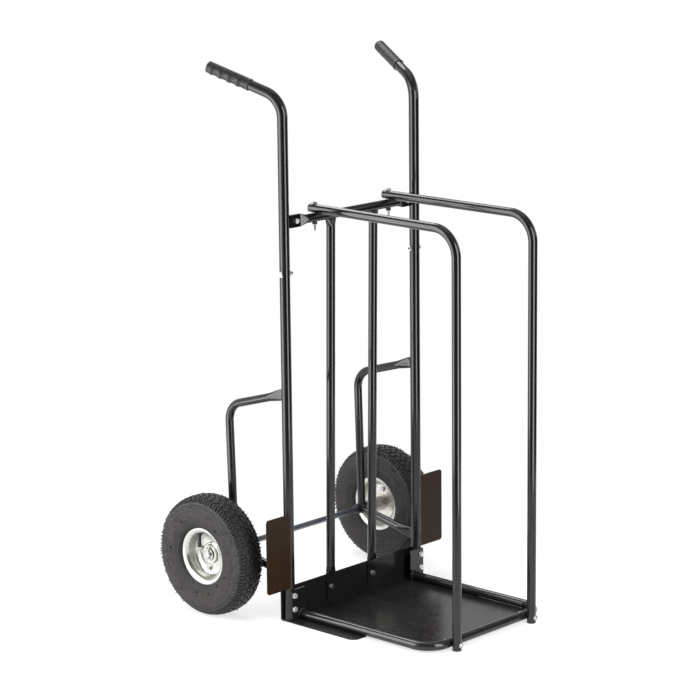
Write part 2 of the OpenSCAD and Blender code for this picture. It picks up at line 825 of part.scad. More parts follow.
module hoop_bolts() {
    color(zinc) both_sides()
        translate([hoop_rear_x, cross_y, hoop_z + hoop_seat]) rotate([180, 0, 0])
            bolt(2 * basket_d + 18);
}

module hoop_nuts() {
    color(zinc) both_sides()
        translate([hoop_rear_x, cross_y, cross_h - basket_d / 2]) rotate([180, 0, 0]) nut();
}

module lug_bolts() {
    color(zinc) both_sides() for (z = lug_bolt_h)
        translate([ux, lug_face, z]) facing_back() bolt(lug_t + upright_d + toe_t + nut_h + 2);
}

module lug_nuts() {
    color(zinc) both_sides() for (z = lug_bolt_h)
        translate([ux, flange_y + toe_t, z]) facing_back() nut();
}

module foot_bolts() {
    color(zinc) both_sides()
        translate([hoop_x, loop_y + basket_d / 2, loop_z]) facing_front() bolt(2 * basket_d + 3.5);
}

module dome_nuts() {
    color(zinc) both_sides()
        translate([hoop_x, -hoop_reach - basket_d / 2, loop_z]) facing_front() dome_nut();
}

module bar_bolts() {
    color(zinc) both_sides()
        translate([bar_x, flange_y - flat_t, bar_bolt_h]) facing_back()
            bolt(flat_t + toe_t + nut_h + 2);
}

module bar_nuts() {
    color(zinc) both_sides()
        translate([bar_x, flange_y + toe_t, bar_bolt_h]) facing_back() nut();
}

// ---- the pieces, one node each ----

upright(-1);  // upright_left
upright(1);  // upright_right
handle(-1);  // handle_left
handle(1);  // handle_right
grip(-1);  // grip_left
grip(1);  // grip_right
brace(-1);  // brace_left
brace(1);  // brace_right
strut(-1);  // strut_left
strut(1);  // strut_right
sleeve(-1);  // sleeve_left
sleeve(1);  // sleeve_right
guard(-1);  // guard_left
guard(1);  // guard_right
toe_plate();
base_loop();
lug_plate(-1);  // lug_left
lug_plate(1);  // lug_right
floor_tray();
hoop(-1);  // hoop_left
hoop(1);  // hoop_right
hoop_caps();
hoop_feet();
cross_tube();
tab(-1);  // tab_left
tab(1);  // tab_right
back_bar(-1);  // back_bar_left
back_bar(1);  // back_bar_right
axle();
axle_spacers();
axle_washers();
cotter_pins();
joint_bolts();
joint_nuts();
tab_bolts();
tab_nuts();
hoop_bolts();
hoop_nuts();
lug_bolts();
lug_nuts();
foot_bolts();
dome_nuts();
bar_bolts();
bar_nuts();
tyre(-1);  // tyre_left
tyre(1);  // tyre_right
inner_tube(-1);  // inner_tube_left
inner_tube(1);  // inner_tube_right
rim_outer(-1);  // rim_outer_left
rim_outer(1);  // rim_outer_right
rim_inner(-1);  // rim_inner_left
rim_inner(1);  // rim_inner_right
hub(-1);  // hub_left
hub(1);  // hub_right
bearings(-1);  // bearings_left
bearings(1);  // bearings_right
rim_bolts(-1);  // rim_bolts_left
rim_bolts(1);  // rim_bolts_right
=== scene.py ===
import math
from functools import partial
import bmesh
import bpy
import numpy as np
from mathutils import Matrix, Vector


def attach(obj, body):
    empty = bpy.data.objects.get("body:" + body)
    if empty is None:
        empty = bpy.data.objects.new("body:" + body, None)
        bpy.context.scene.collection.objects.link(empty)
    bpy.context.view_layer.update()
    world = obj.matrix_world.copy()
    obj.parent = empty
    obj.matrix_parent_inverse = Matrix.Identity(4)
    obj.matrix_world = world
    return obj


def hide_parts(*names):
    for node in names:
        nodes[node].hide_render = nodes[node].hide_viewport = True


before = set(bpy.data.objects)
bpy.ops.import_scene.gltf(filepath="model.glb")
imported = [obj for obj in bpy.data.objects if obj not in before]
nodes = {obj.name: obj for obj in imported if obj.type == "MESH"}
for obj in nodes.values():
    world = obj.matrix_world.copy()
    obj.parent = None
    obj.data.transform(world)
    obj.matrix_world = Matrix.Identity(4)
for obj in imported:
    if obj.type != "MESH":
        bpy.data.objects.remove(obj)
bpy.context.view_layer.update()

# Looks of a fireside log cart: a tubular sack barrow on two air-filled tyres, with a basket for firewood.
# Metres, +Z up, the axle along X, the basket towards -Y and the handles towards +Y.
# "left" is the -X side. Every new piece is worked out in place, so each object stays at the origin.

SIDES = {"left": -1, "right": 1}
FULL_TURN = 2 * math.pi

# ---- sizes of the cart, in metres ----

UPRIGHT_X, UPRIGHT_R = 0.2015, 0.011
JOINT_Z, JOINT_BOLT_Z = 0.764, 0.745
HANDLE_CORNER_Z = 1.107
HANDLE_RISE = np.array([0.059, 0.152, 0.061])
GRIP_LEN, GRIP_R, GRIP_TURN = 0.100, 0.0123, math.radians(-40)
RIDGE_AT, RIDGE_PITCH, RIDGE_WIDE = 0.0255, 0.021, 0.0034
BRACE_TOP_Z, STRUT_LOW_Z, BRACE_R, BRACE_BEND_R = 0.492, 0.096, 0.009, 0.044
BRACE_CORNER = np.array([0.172, 0.442])
PRESSED_HALF, PRESSED_THIN = 0.0120, 0.0020
INSIDE_UPRIGHT, SHORT_OF_AXLE = 0.007, 0.0066
AXLE_Y, AXLE_Z = 0.163, 0.130
WHEEL_X = 0.2728
TYRE_R, TYRE_HALF, GROOVE_DEPTH = 0.130, 0.038, 0.0019
RIM_R, RIM_HALF, SEAT_R = 0.0625, 0.025, 0.0495
HUB_R, HUB_OUT, WEB_AT, SHEET = 0.019, 0.0045, -0.0045, 0.0016
BOLT_CIRCLE_R, BOLT_TURN = 0.034, math.radians(14)
HOOP_X, HOOP_REAR_X, HOOP_Z = 0.120, 0.114, 0.872
CROSS_Y, CROSS_Z, BASKET_R = -0.0035, 0.853, 0.0095
BAR_X, LOOP_X, LOOP_Z, LUG_FACE_Y = 0.0655, 0.179, 0.0125, -0.014
BOLT_R, BOLT_ACROSS, HEAD_H, NUT_H = 0.003, 0.010, 0.004, 0.005


# ---- shapes: every surface is a grid of points, or a profile carried along a path ----

def unit(vector):
    """The vector divided by its length."""
    vector = np.asarray(vector, float)
    return vector / np.linalg.norm(vector)


def square_to(axis):
    """Unit vectors u and v square to an axis, and the axis's own, as a right-handed set."""
    axis = unit(axis)
    helper = np.array([0.0, 0.0, 1.0]) if abs(axis[2]) < 0.9 else np.array([1.0, 0.0, 0.0])
    u = unit(np.cross(helper, axis))
    return u, np.cross(axis, u), axis


def woven(points, wrap_rows=False, wrap_columns=False):
    """Quads over a grid of points (rows, columns, xyz): (i, j), (i+1, j), (i+1, j+1), (i, j+1)."""
    rows, columns = points.shape[:2]
    index = np.arange(rows * columns).reshape(rows, columns)
    if wrap_rows:
        index = np.vstack([index, index[:1]])
    if wrap_columns:
        index = np.hstack([index, index[:, :1]])
    quads = np.stack([index[:-1, :-1], index[1:, :-1], index[1:, 1:], index[:-1, 1:]], -1)
    return points.reshape(-1, 3), quads.reshape(-1, 4)


def rings_about(at, axes, h, r, w, closed=False):
    """Rings about an axis n: point (i, j) = at + h_i n + r_ij (cos w_j u + sin w_j v), axes = (u, v, n)."""
    u, v, n = axes
    round_about = np.cos(w)[:, None] * u + np.sin(w)[:, None] * v
    points = np.asarray(at, float) + h[:, None, None] * n + r[:, :, None] * round_about
    return woven(points, wrap_rows=closed, wrap_columns=True)


def full_turn(count):
    """Angles of a full turn in equal steps, without the last one."""
    return np.linspace(0, FULL_TURN, count, endpoint=False)


def eased_step(k):
    """Smooth step 3 k^2 - 2 k^3 of k held between 0 and 1."""
    k = np.clip(k, 0, 1)
    return k * k * (3 - 2 * k)


def lathe(profile, at, axis, count=32, closed=False):
    """Profile rows (h, r) turned about an axis; a closed profile runs on from its last row to its first."""
    profile = np.asarray(profile, float)
    return rings_about(at, square_to(axis), profile[:, 0], profile[:, 1, None], full_turn(count), closed)


def hexagon(at, axis, across, height, turn=0.0, bore=0.0, chamfer=0.0006):
    """Hexagon with chamfered corners: at turn w its outline is the smaller of the flat's
    distance, half the width across flats / cos(w from the flat's middle), and the chamfer's circle."""
    w = full_turn(48)
    half = across / 2
    flat = half / np.cos((w + math.pi / 6) % (math.pi / 3) - math.pi / 6)
    heights = np.array([0, 0, chamfer, height - chamfer, height, height])
    circles = np.array([bore, half * 0.98, 1, 1, half * 0.98, bore])
    radius = np.minimum(flat[None, :], circles[:, None])
    return rings_about(at, square_to(axis), heights, radius, w + turn, bore > 0)


def thread(at, axis, radius, length, pitch=0.001):
    """Threaded rod end: its radius swings between full and full - 0.6 pitch as a saw of the height,
    and the last pitch narrows to a chamfer."""
    turns = max(2, int(length / pitch))
    h = np.repeat(np.arange(turns), 2) * pitch + np.tile([0.0, pitch / 2], turns)
    r = radius - np.tile([0.0, 0.6 * pitch], turns)
    profile = [(0, 0), *zip(h, r), (length, radius - pitch), (length, 0)]
    return lathe(profile, at, axis, 20)


def washer(at, axis, outer, inner, thick):
    """Flat ring with eased edges: the outline (0, inner), (0, outer), (thick, outer), (thick, inner)."""
    e = min(0.0003, thick / 3)
    return lathe([(0, inner), (0, outer - e), (e, outer), (thick - e, outer), (thick, outer - e),
                  (thick, inner)], at, axis, closed=True)


def along(path, radius, count=16):
    """Circle of the given radius (one value, or one for each point) carried along a path, with both ends
    closed. At each point it stands square to the path, and its u is the last u less its part along it."""
    path = np.asarray(path, float)
    radius = np.broadcast_to(np.asarray(radius, float), (len(path),))
    tangent = np.gradient(path, axis=0)
    tangent /= np.linalg.norm(tangent, axis=1)[:, None]
    u, sides = square_to(tangent[0])[0], []
    for t in tangent:
        u = unit(u - np.dot(u, t) * t)
        sides.append(u)
    sides = np.array(sides)
    other = np.cross(tangent, sides)
    w = full_turn(count)
    ring = np.cos(w)[None, :, None] * sides[:, None, :] + np.sin(w)[None, :, None] * other[:, None, :]
    points = path[:, None, :] + radius[:, None, None] * ring
    return woven(np.concatenate([np.repeat(path[:1, None], count, 1), points,
                                 np.repeat(path[-1:, None], count, 1)]), wrap_columns=True)


def weld_bead(path, radius, pitch=0.0032):
    """Weld bead: a round along the path whose radius rises and falls like overlapping drops,
    radius x (0.86 + 0.14 |sin(pi s / pitch)|), with s the distance run, and which tapers at its ends."""
    path = np.asarray(path, float)
    step = np.linalg.norm(np.diff(path, axis=0), axis=1)
    s = np.concatenate([[0], np.cumsum(step)])
    fine = np.arange(0, s[-1], pitch / 5)
    smooth = np.stack([np.interp(fine, s, path[:, k]) for k in range(3)], -1)
    swell = radius * (0.86 + 0.14 * np.abs(np.sin(math.pi * fine / pitch)))
    ends = np.clip(np.minimum(fine, fine[-1] - fine) / (1.2 * radius), 0.25, 1)
    return along(smooth, swell * np.sqrt(ends), 8)


def mirrored(parts):
    """The parts and their mirror images in the plane midway between the uprights."""
    return parts + [(points * (-1, 1, 1), quads) for points, quads in parts]


def laid_out(name, found, quads, material):
    """Object of one mesh and one material, put into the scene."""
    mesh = bpy.data.meshes.new(name)
    mesh.from_pydata(found.tolist(), [], quads.tolist())
    mesh.materials.append(material)
    made = bpy.data.objects.new(name, mesh)
    bpy.context.scene.collection.objects.link(made)
    return made


def make_piece(name, parts, material, body, sharp):
    """One mesh of several surfaces. Doubled points at seams and poles are merged, faces point outwards, and
    edges over the sharp angle in degrees aren't smoothed."""
    starts = np.cumsum([0] + [len(found) for found, _ in parts])
    piece = laid_out(name, np.concatenate([found for found, _ in parts]),
                     np.concatenate([quads + start for (_, quads), start in zip(parts, starts)]), material)
    mesh, work = piece.data, bmesh.new()
    work.from_mesh(mesh)
    bmesh.ops.remove_doubles(work, verts=work.verts, dist=2e-6)
    bmesh.ops.dissolve_degenerate(work, edges=work.edges, dist=1e-6)
    bmesh.ops.recalc_face_normals(work, faces=work.faces)
    work.to_mesh(mesh)
    work.free()
    mesh.shade_smooth()
    mesh.set_sharp_from_angle(angle=math.radians(sharp))
    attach(piece, body)
    return piece


# ---- shared effects for the finishes ----

def put(slot, value):
    """Gives an input a wire from a socket, or its own number or colour; None leaves it as it is."""
    if isinstance(value, bpy.types.NodeSocket):
        slot.id_data.links.new(value, slot)
    elif value is not None:
        slot.default_value = (*value, 1) if isinstance(value, tuple) and len(value) == 3 else value


def node(tree, kind, *values, **settings):
    """One node. Values go to its first inputs in turn, and a setting to what it names on the node, or else
    to the input of that name."""
    made = tree.nodes.new("ShaderNode" + kind)
    for slot, value in zip(made.inputs, values):
        put(slot, value)
    for label, value in settings.items():
        if hasattr(made, label):
            setattr(made, label, value)
        else:
            put(made.inputs[label.replace("_", " ")], value)
    return made


def calc(kind, a, b=None):
    """Math node of one kind on sockets or numbers, in the tree of the first socket."""
    tree = (a if isinstance(a, bpy.types.NodeSocket) else b).id_data
    return node(tree, "Math", a, b, operation=kind).outputs[0]


add, less, times, at_least = (partial(calc, kind) for kind in ("ADD", "SUBTRACT", "MULTIPLY", "MAXIMUM"))


def place_in(tree):
    """Object coordinates, which are metres in the cart's own frame."""
    return node(tree, "TexCoord").outputs["Object"]


def ramp(value, stops):
    """Grey ramp with (place, grey) stops."""
    made = node(value.id_data, "ValToRGB", value)
    while len(made.color_ramp.elements) < len(stops):
        made.color_ramp.elements.new(0.5)
    for element, (place, shade) in zip(made.color_ramp.elements, stops):
        element.position = place
        element.color = (shade, shade, shade, 1)
    return made.outputs[0]


def noise(place, scale, detail=3.0, roughness=0.55):
    """Noise over a place socket, at a scale in waves to the metre."""
    return node(place.id_data, "TexNoise", place, Scale=scale, Detail=detail, Roughness=roughness).outputs["Fac"]


def blended(mask, below, above):
    """Colour that runs from below to above with a mask; each is a colour or a socket."""
    made = node(mask.id_data, "Mix", mask, data_type="RGBA")
    put(made.inputs[6], below)
    put(made.inputs[7], above)
    return made.outputs[2]


def new_group(name, outputs, **inputs):
    """Empty shader group of numbers: its tree, what comes in with its values, and what goes out."""
    group = bpy.data.node_groups.new(name, "ShaderNodeTree")
    for label, value in inputs.items():
        group.interface.new_socket(label.replace("_", " "), in_out="INPUT",
                                   socket_type="NodeSocketFloat").default_value = value
    for label in outputs:
        group.interface.new_socket(label, in_out="OUTPUT", socket_type="NodeSocketFloat")
    return group, group.nodes.new("NodeGroupInput").outputs, group.nodes.new("NodeGroupOutput").inputs


def build_orange_peel():
    """Dimpled skin of a baked powder coat: a fine noise laid over a slow swell."""
    group, came, gone = new_group("orange_peel", ("Height", "Variation"), Dimple_Scale=900.0, Swell_Scale=120.0)
    place = place_in(group)
    dimples = noise(place, came["Dimple Scale"], 1.0, 0.5)
    swell = noise(place, came["Swell Scale"], 2.0, 0.5)
    put(gone["Height"], add(times(dimples, 0.45), times(swell, 0.55)))
    put(gone["Variation"], swell)
    return group


def build_edge_wear():
    """Mask of rubbed edges: how far a rounded-off normal turns from the surface's own, broken up by noise."""
    group, came, gone = new_group("edge_wear", ("Mask",), Rounding=0.0012, Patch_Scale=160.0)
    patches = noise(place_in(group), came["Patch Scale"], 5.0, 0.5)
    rounded = node(group, "Bevel", samples=4, Radius=came["Rounding"]).outputs[0]
    own = node(group, "NewGeometry").outputs["Normal"]
    likeness = node(group, "VectorMath", rounded, own, operation="DOT_PRODUCT").outputs["Value"]
    above = times(less(less(1.0, likeness), 0.04), 6.0)
    broken = times(less(patches, 0.44), 6.0)
    mask = times(at_least(above, 0.0), at_least(broken, 0.0))
    put(gone["Mask"], node(group, "Clamp", mask).outputs[0])
    return group


def build_dust():
    """Mask of dust: thicker near the ground and on faces that look up, and patchy all over."""
    group, came, gone = new_group("dust", ("Mask",), Fade_Height=0.35, Amount=0.5)
    coordinates = node(group, "TexCoord").outputs
    place = coordinates["Object"]
    height = node(group, "SeparateXYZ", place).outputs["Z"]
    low = less(1.0, calc("DIVIDE", height, came["Fade Height"]))
    low = times(at_least(low, 0.0), 0.6)
    up = node(group, "SeparateXYZ", coordinates["Normal"]).outputs["Z"]
    up = times(at_least(up, 0.0), 0.4)
    patchy = add(times(noise(place, 22.0, 4.0), 0.9), times(noise(place, 260.0, 2.0), 0.5))
    cover = times(add(add(low, up), 0.12), patchy)
    put(gone["Mask"], node(group, "Clamp", times(cover, came["Amount"])).outputs[0])
    return group


def build_wheel_place():
    """Place on a wheel, from Object coordinates: distance from the axle in metres and turn in radians."""
    group, _, gone = new_group("wheel_place", ("Distance", "Turn"))
    split = node(group, "SeparateXYZ", place_in(group)).outputs
    y, z = less(split["Y"], AXLE_Y), less(split["Z"], AXLE_Z)
    square = add(times(y, y), times(z, z))
    put(gone["Distance"], calc("SQRT", square))
    put(gone["Turn"], calc("ARCTAN2", z, y))
    return group


ORANGE_PEEL = build_orange_peel()
EDGE_WEAR = build_edge_wear()
DUST = build_dust()
WHEEL_PLACE = build_wheel_place()


# ---- finishes ----

def new_finish(name, roughness=0.4, metallic=0.0, specular=0.5):
    """Material and its tree. Even values are set on the Principled shader's own sockets."""
    material = bpy.data.materials.new(name)
    material.use_nodes = True
    shader = material.node_tree.nodes["Principled BSDF"]
    shader.inputs["Roughness"].default_value = roughness
    shader.inputs["Metallic"].default_value = metallic
    shader.inputs["Specular IOR Level"].default_value = specular
    return material, material.node_tree


def rubbed(skin, patch_scale, bare):
    """Skin rubbed through to a bare colour at its edges."""
    wear = node(skin.id_data, "Group", node_tree=EDGE_WEAR, Patch_Scale=patch_scale)
    return blended(wear.outputs["Mask"], skin, bare)


def dusted(skin, fade_height, amount, colour):
    """Skin under dust, and the dust's mask."""
    dust = node(skin.id_data, "Group", node_tree=DUST, Fade_Height=fade_height, Amount=amount)
    return blended(dust.outputs["Mask"], skin, colour), dust.outputs["Mask"]


def finished(material, skin, roughness, height, depth, strength=1.0):
    """Wires colour, roughness and a bump of a depth in metres to the shader, and returns the material."""
    tree = material.node_tree
    bump = node(tree, "Bump", Distance=depth, Strength=strength, Height=height)
    for label, value in (("Base Color", skin), ("Roughness", roughness), ("Normal", bump.outputs["Normal"])):
        put(tree.nodes["Principled BSDF"].inputs[label], value)
    return material


def black_powder_coat(name, tint, specular, rough_low, rough_high, peel_depth):
    """Baked gloss powder coat: near black, faintly dimpled, a little dusty low down, edges rubbed grey."""
    material, tree = new_finish(name, specular=specular)
    peel = node(tree, "Group", node_tree=ORANGE_PEEL, Dimple_Scale=700.0, Swell_Scale=90.0).outputs
    coat = blended(peel["Variation"], tint, tuple(1.6 * c for c in tint))
    coat = rubbed(coat, 140.0, (0.045, 0.045, 0.047))
    coat, dust = dusted(coat, 0.3, 0.10, (0.16, 0.15, 0.14))
    gloss = add(ramp(peel["Variation"], [(0.3, rough_low), (0.7, rough_high)]), times(dust, 0.5))
    return finished(material, coat, gloss, peel["Height"], peel_depth)


def zinc_plate(name, pale, warm, rough_low, rough_high):
    """Passivated zinc: a pale silver with faint cloudy patches, a fine grain and a soft sheen."""
    material, tree = new_finish(name, metallic=1.0)
    place = place_in(tree)
    clouds = ramp(noise(place, 75.0, 5.0, 0.6), [(0.35, 0.0), (0.68, 1.0)])
    grain = noise(place, 1500.0, 2.0)
    skin = blended(clouds, pale, warm)
    skin = rubbed(skin, 200.0, tuple(min(1.0, 1.12 * c) for c in pale))
    skin = dusted(skin, 0.5, 0.12, (0.33, 0.31, 0.28))[0]
    sheen = add(ramp(clouds, [(0.0, rough_low), (1.0, rough_high)]), times(grain, 0.08))
    return finished(material, skin, sheen, add(grain, clouds), 0.00008, 0.5)


def blue_grey_rod(name):
    """Axle bar: drawn steel, oiled and blued, with fine lines along it and bare ends."""
    material, tree = new_finish(name, metallic=1.0)
    place = place_in(tree)
    stretch = node(tree, "Mapping", place)
    stretch.inputs["Scale"].default_value = (30.0, 900.0, 900.0)
    lines = noise(stretch.outputs[0], 1.0, 3.0)
    skin = blended(noise(place, 60.0, 4.0), (0.17, 0.19, 0.23), (0.30, 0.32, 0.36))
    across = calc("ABSOLUTE", node(tree, "SeparateXYZ", place).outputs["X"])
    skin = blended(ramp(across, [(0.2770, 0.0), (0.2775, 1.0)]), skin, (0.62, 0.61, 0.57))
    skin = rubbed(skin, 220.0, (0.5, 0.5, 0.5))
    return finished(material, skin, ramp(lines, [(0.3, 0.28), (0.7, 0.42)]), lines, 0.00006, 0.6)


def tyre_rubber(name):
    """Barrow tyre: matt carbon-black rubber, brown-grey with mould bloom on the side walls, with fine
    rings on the wall, a knurled band at the shoulder, low lumps and a grain all over. Painted shade
    darkens the wall towards the rim, and a painted highlight lightens the band at the shoulder."""
    material, tree = new_finish(name, specular=0.3)
    place = place_in(tree)
    wheel = node(tree, "Group", node_tree=WHEEL_PLACE).outputs
    distance = wheel["Distance"]
    # Wall mask: the bloomed side wall, fading to the tread's black beyond 104 mm. Its fade from 92 mm in to the rim
    # at 62 mm is painted shade where the tyre curves in. The mask also sets the roughness below.
    wall = ramp(distance, [(0.062, 0.05), (0.080, 0.65), (0.092, 1.0), (0.104, 0.85), (0.1135, 0.05)])
    fine = ramp(noise(place, 210.0, 4.0, 0.7), [(0.41, 0.0), (0.59, 0.9)])
    blotch = add(ramp(noise(place, 38.0, 5.0, 0.6), [(0.36, 0.05), (0.62, 0.75)]), fine)
    skin = blended(times(wall, blotch), (0.0125, 0.0125, 0.0145), (0.049, 0.044, 0.043))
    # Painted highlight: the band at the shoulder, 100 to 121 mm out, is lightened to stand in for glints off its
    # knurls.
    shoulder = ramp(distance, [(0.100, 0.0), (0.106, 1.0), (0.116, 1.0), (0.121, 0.1)])
    skin = blended(times(shoulder, blotch), skin, (0.055, 0.053, 0.055))
    skin = dusted(skin, 0.22, 0.12, (0.14, 0.125, 0.105))[0]
    matt = ramp(add(wall, times(blotch, 0.4)), [(0.2, 0.30), (1.0, 0.80)])
    rings = times(calc("SINE", times(distance, FULL_TURN / 0.0026)),
                  ramp(distance, [(0.066, 0.0), (0.070, 0.6), (0.098, 0.6), (0.101, 0.0)]))
    knurl = times(calc("SINE", times(wheel["Turn"], 230.0)),
                  ramp(distance, [(0.099, 0.0), (0.103, 0.9), (0.114, 0.9), (0.118, 0.0)]))
    lumps = times(noise(place, 170.0, 5.0, 0.75), 4.5)
    grain = noise(place, 1100.0, 2.0)
    height = add(add(rings, knurl), add(grain, lumps))
    return finished(material, skin, matt, height, 0.00045, 0.9)


def grip_rubber(name):
    """Moulded rubber of the grips: dark grey, matt, with a fine stipple and slightly polished high spots."""
    material, tree = new_finish(name, specular=0.4)
    place = place_in(tree)
    stipple = node(tree, "TexVoronoi", place, Scale=900.0).outputs["Distance"]
    skin = blended(noise(place, 60.0, 4.0), (0.013, 0.0125, 0.014), (0.024, 0.023, 0.024))
    skin = rubbed(skin, 240.0, (0.10, 0.098, 0.096))
    return finished(material, skin, ramp(stipple, [(0.1, 0.36), (0.6, 0.50)]), stipple, 0.00009, 0.7)


def moulded_plastic(name):
    """Black moulded plastic of caps and feet: satin, with a fine spark-etched grain, dusty low down."""
    material, tree = new_finish(name, specular=0.4)
    place = place_in(tree)
    grain = noise(place, 1300.0, 2.0)
    skin = blended(noise(place, 90.0), (0.010, 0.010, 0.011), (0.022, 0.022, 0.023))
    skin = dusted(skin, 0.1, 0.3, (0.15, 0.14, 0.13))[0]
    return finished(material, skin, ramp(grain, [(0.3, 0.38), (0.7, 0.55)]), grain, 0.0001, 0.6)


def inner_rubber(name, dark, pale, specular):
    """Bare rubber of the inner tubes, valves and pips: smooth black with a chalky bloom."""
    material, tree = new_finish(name, specular=specular)
    place = place_in(tree)
    bloom = noise(place, 140.0, 4.0)
    return finished(material, blended(bloom, dark, pale), ramp(bloom, [(0.3, 0.36), (0.7, 0.55)]),
                    noise(place, 900.0, 2.0), 0.0001, 0.5)


FRAME_COAT = black_powder_coat("gloss_black_powder_coat", (0.0050, 0.0048, 0.0049), 0.5, 0.11, 0.15, 0.000003)
BASKET_COAT = black_powder_coat("gloss_black_basket_coat", (0.0048, 0.0047, 0.0048), 0.5, 0.10, 0.14, 0.000003)
GUARD_COAT = black_powder_coat("brown_black_guard_coat", (0.0185, 0.0082, 0.0028), 0.12, 0.22, 0.30, 0.000015)
PLATE_COAT = black_powder_coat("satin_black_on_plate", (0.0050, 0.0048, 0.0049), 0.22, 0.16, 0.24, 0.000010)
ZINC = zinc_plate("bright_zinc_plate", (0.54, 0.54, 0.52), (0.42, 0.41, 0.38), 0.24, 0.36)
RIM_ZINC = zinc_plate("pressed_rim_zinc", (0.61, 0.61, 0.585), (0.53, 0.53, 0.49), 0.23, 0.35)
PALE_ZINC = zinc_plate("pale_zinc_plate", (0.86, 0.86, 0.84), (0.74, 0.73, 0.70), 0.44, 0.58)
OILED = zinc_plate("oiled_black_steel", (0.050, 0.049, 0.048), (0.030, 0.029, 0.028), 0.30, 0.42)
HUB_ZINC = zinc_plate("hub_zinc", (0.70, 0.69, 0.65), (0.56, 0.55, 0.50), 0.26, 0.38)
BEARING_STEEL = zinc_plate("bearing_steel", (0.50, 0.50, 0.51), (0.36, 0.36, 0.37), 0.20, 0.32)
ROD = blue_grey_rod("blued_axle_steel")
TYRE = tyre_rubber("barrow_tyre_rubber")
GRIP = grip_rubber("stippled_grip_rubber")
PLASTIC = moulded_plastic("black_moulded_plastic")
BUTYL = inner_rubber("butyl_tube_rubber", (0.012, 0.012, 0.013), (0.05, 0.048, 0.047), 0.4)
BARE_RUBBER = inner_rubber("bare_black_rubber", (0.002, 0.002, 0.002), (0.006, 0.006, 0.006), 0.03)

FINISHES = (
    (GRIP, "grip"), (GUARD_COAT, "guard"), (PLATE_COAT, "toe_plate floor_tray"), (ROD, "axle"), (TYRE, "tyre"),
    (BASKET_COAT, "base_loop hoop_left hoop_right cross_tube back_bar lug_left lug_right"),
    (PLASTIC, "hoop_caps hoop_feet"), (BUTYL, "inner_tube"), (RIM_ZINC, "rim_"), (HUB_ZINC, "hub"),
    (BEARING_STEEL, "bearings"), (OILED, "hoop_nuts"), (PALE_ZINC, "tab_bolts tab_nuts lug_bolts lug_nuts"),
    (ZINC, "axle_washers axle_spacers cotter_pins joint_ hoop_bolts foot_bolts dome_nuts bar_ rim_bolts"))
FINISH_OF = {start: finish for finish, starts in FINISHES for start in starts.split()}


def finish_for(name):
    """The finish whose key starts the node's name, by the longest such key; frame coat otherwise."""
    keys = [k for k in FINISH_OF if name.startswith(k)]
    return FINISH_OF[max(keys, key=len)] if keys else FRAME_COAT


for name, shape in nodes.items():
    if not shape.material_slots:
        shape.data.materials.append(finish_for(name))
    for held in shape.material_slots:
        held.material = finish_for(name)


# ---- tyres ----

def outline_table():
    """Inflated tyre's outline, tabled by the distance q along it from the middle of the tread:
    radius = middle + h sign(sin t) |sin t|^p, across = -half sign(cos t) |cos t|^p, with t from one
    bead over the tread to the other, p = 0.68 above the widest place and 0.92 below it; its outward normal
    is the tangent (dr, dx) turned to (dx, -dr)."""
    t = np.radians(np.linspace(-42, 222, 1601))
    low = SEAT_R + 0.0015
    middle, h = (TYRE_R + low) / 2, (TYRE_R - low) / 2
    s, c = np.sin(t), np.cos(t)
    power = np.where(s > 0, 0.68, 0.92)
    radius = middle + h * np.sign(s) * np.abs(s) ** power
    across = -TYRE_HALF * np.sign(c) * np.abs(c) ** power
    q = np.concatenate([[0], np.cumsum(np.hypot(np.diff(radius), np.diff(across)))])
    q = q - q[len(q) // 2]
    out_r, out_x = np.gradient(across, q), -np.gradient(radius, q)
    size = np.hypot(out_r, out_x)
    return q, radius, across, out_r / size, out_x / size


OUTLINE = outline_table()
TREAD_END, WALL_END = 0.0335, OUTLINE[0][-1]


def groove(q):
    """Depth of the tread's grooves, fading out over the shoulder as a smooth step of |q|."""
    return GROOVE_DEPTH * eased_step((TREAD_END + 0.005 - np.abs(q)) / 0.009)


def on_wheel(radius, turn, across, side):
    """Point at a radius and a turn about the axle, and at a distance across from the wheel's middle."""
    x = side * (WHEEL_X + across)
    return np.stack(np.broadcast_arrays(x, AXLE_Y + radius * np.cos(turn), AXLE_Z + radius * np.sin(turn)), -1)


def on_tyre(q, turn, lift, side):
    """Point on the tyre at q along its outline and at a turn, lifted off the outline along its normal."""
    table, radius, across, out_r, out_x = OUTLINE
    found = [np.interp(q, table, values) for values in (radius, across, out_r, out_x)]
    return on_wheel(found[0] + lift * found[2], turn, found[1] + lift * found[3], side)


def tyre_carcass(side):
    """Body of the tyre: its outline, sunk by the groove depth under the tread, with rings on the walls
    as a sum of narrow bells height x exp(-((q - ring) / width)^2), both beads tucked behind the rim's
    flanges and joined by a skin inside."""
    q = np.unique(np.concatenate([np.linspace(-WALL_END, WALL_END, 150), np.linspace(0.040, 0.052, 20),
                                  -np.linspace(0.040, 0.052, 20)]))
    rings = sum(h * np.exp(-((np.abs(q) - WALL_END + place) / wide) ** 2) for place, h, wide in (
        (0.0045, 0.0007, 0.0010), (0.0110, 0.0004, 0.0006), (0.0350, 0.0005, 0.0008),
        (0.0395, 0.0007, 0.0007), (0.0490, 0.0009, 0.0008)))
    turn = full_turn(360)
    outside = on_tyre(q[:, None], turn, (rings - groove(q))[:, None], side)
    inside = on_tyre(np.linspace(0.9 * WALL_END, -0.9 * WALL_END, 40)[:, None], turn, -0.0070, side)
    bead_r = np.array([[0.0535], [0.0580], [0.0592]])
    bead_x = np.array([[0.0180], [0.0205], [0.0225]])
    first = on_wheel(bead_r, turn, -bead_x, side)
    last = on_wheel(bead_r[::-1], turn, bead_x[::-1], side)
    return woven(np.concatenate([first, outside, last, inside]), wrap_rows=True, wrap_columns=True)


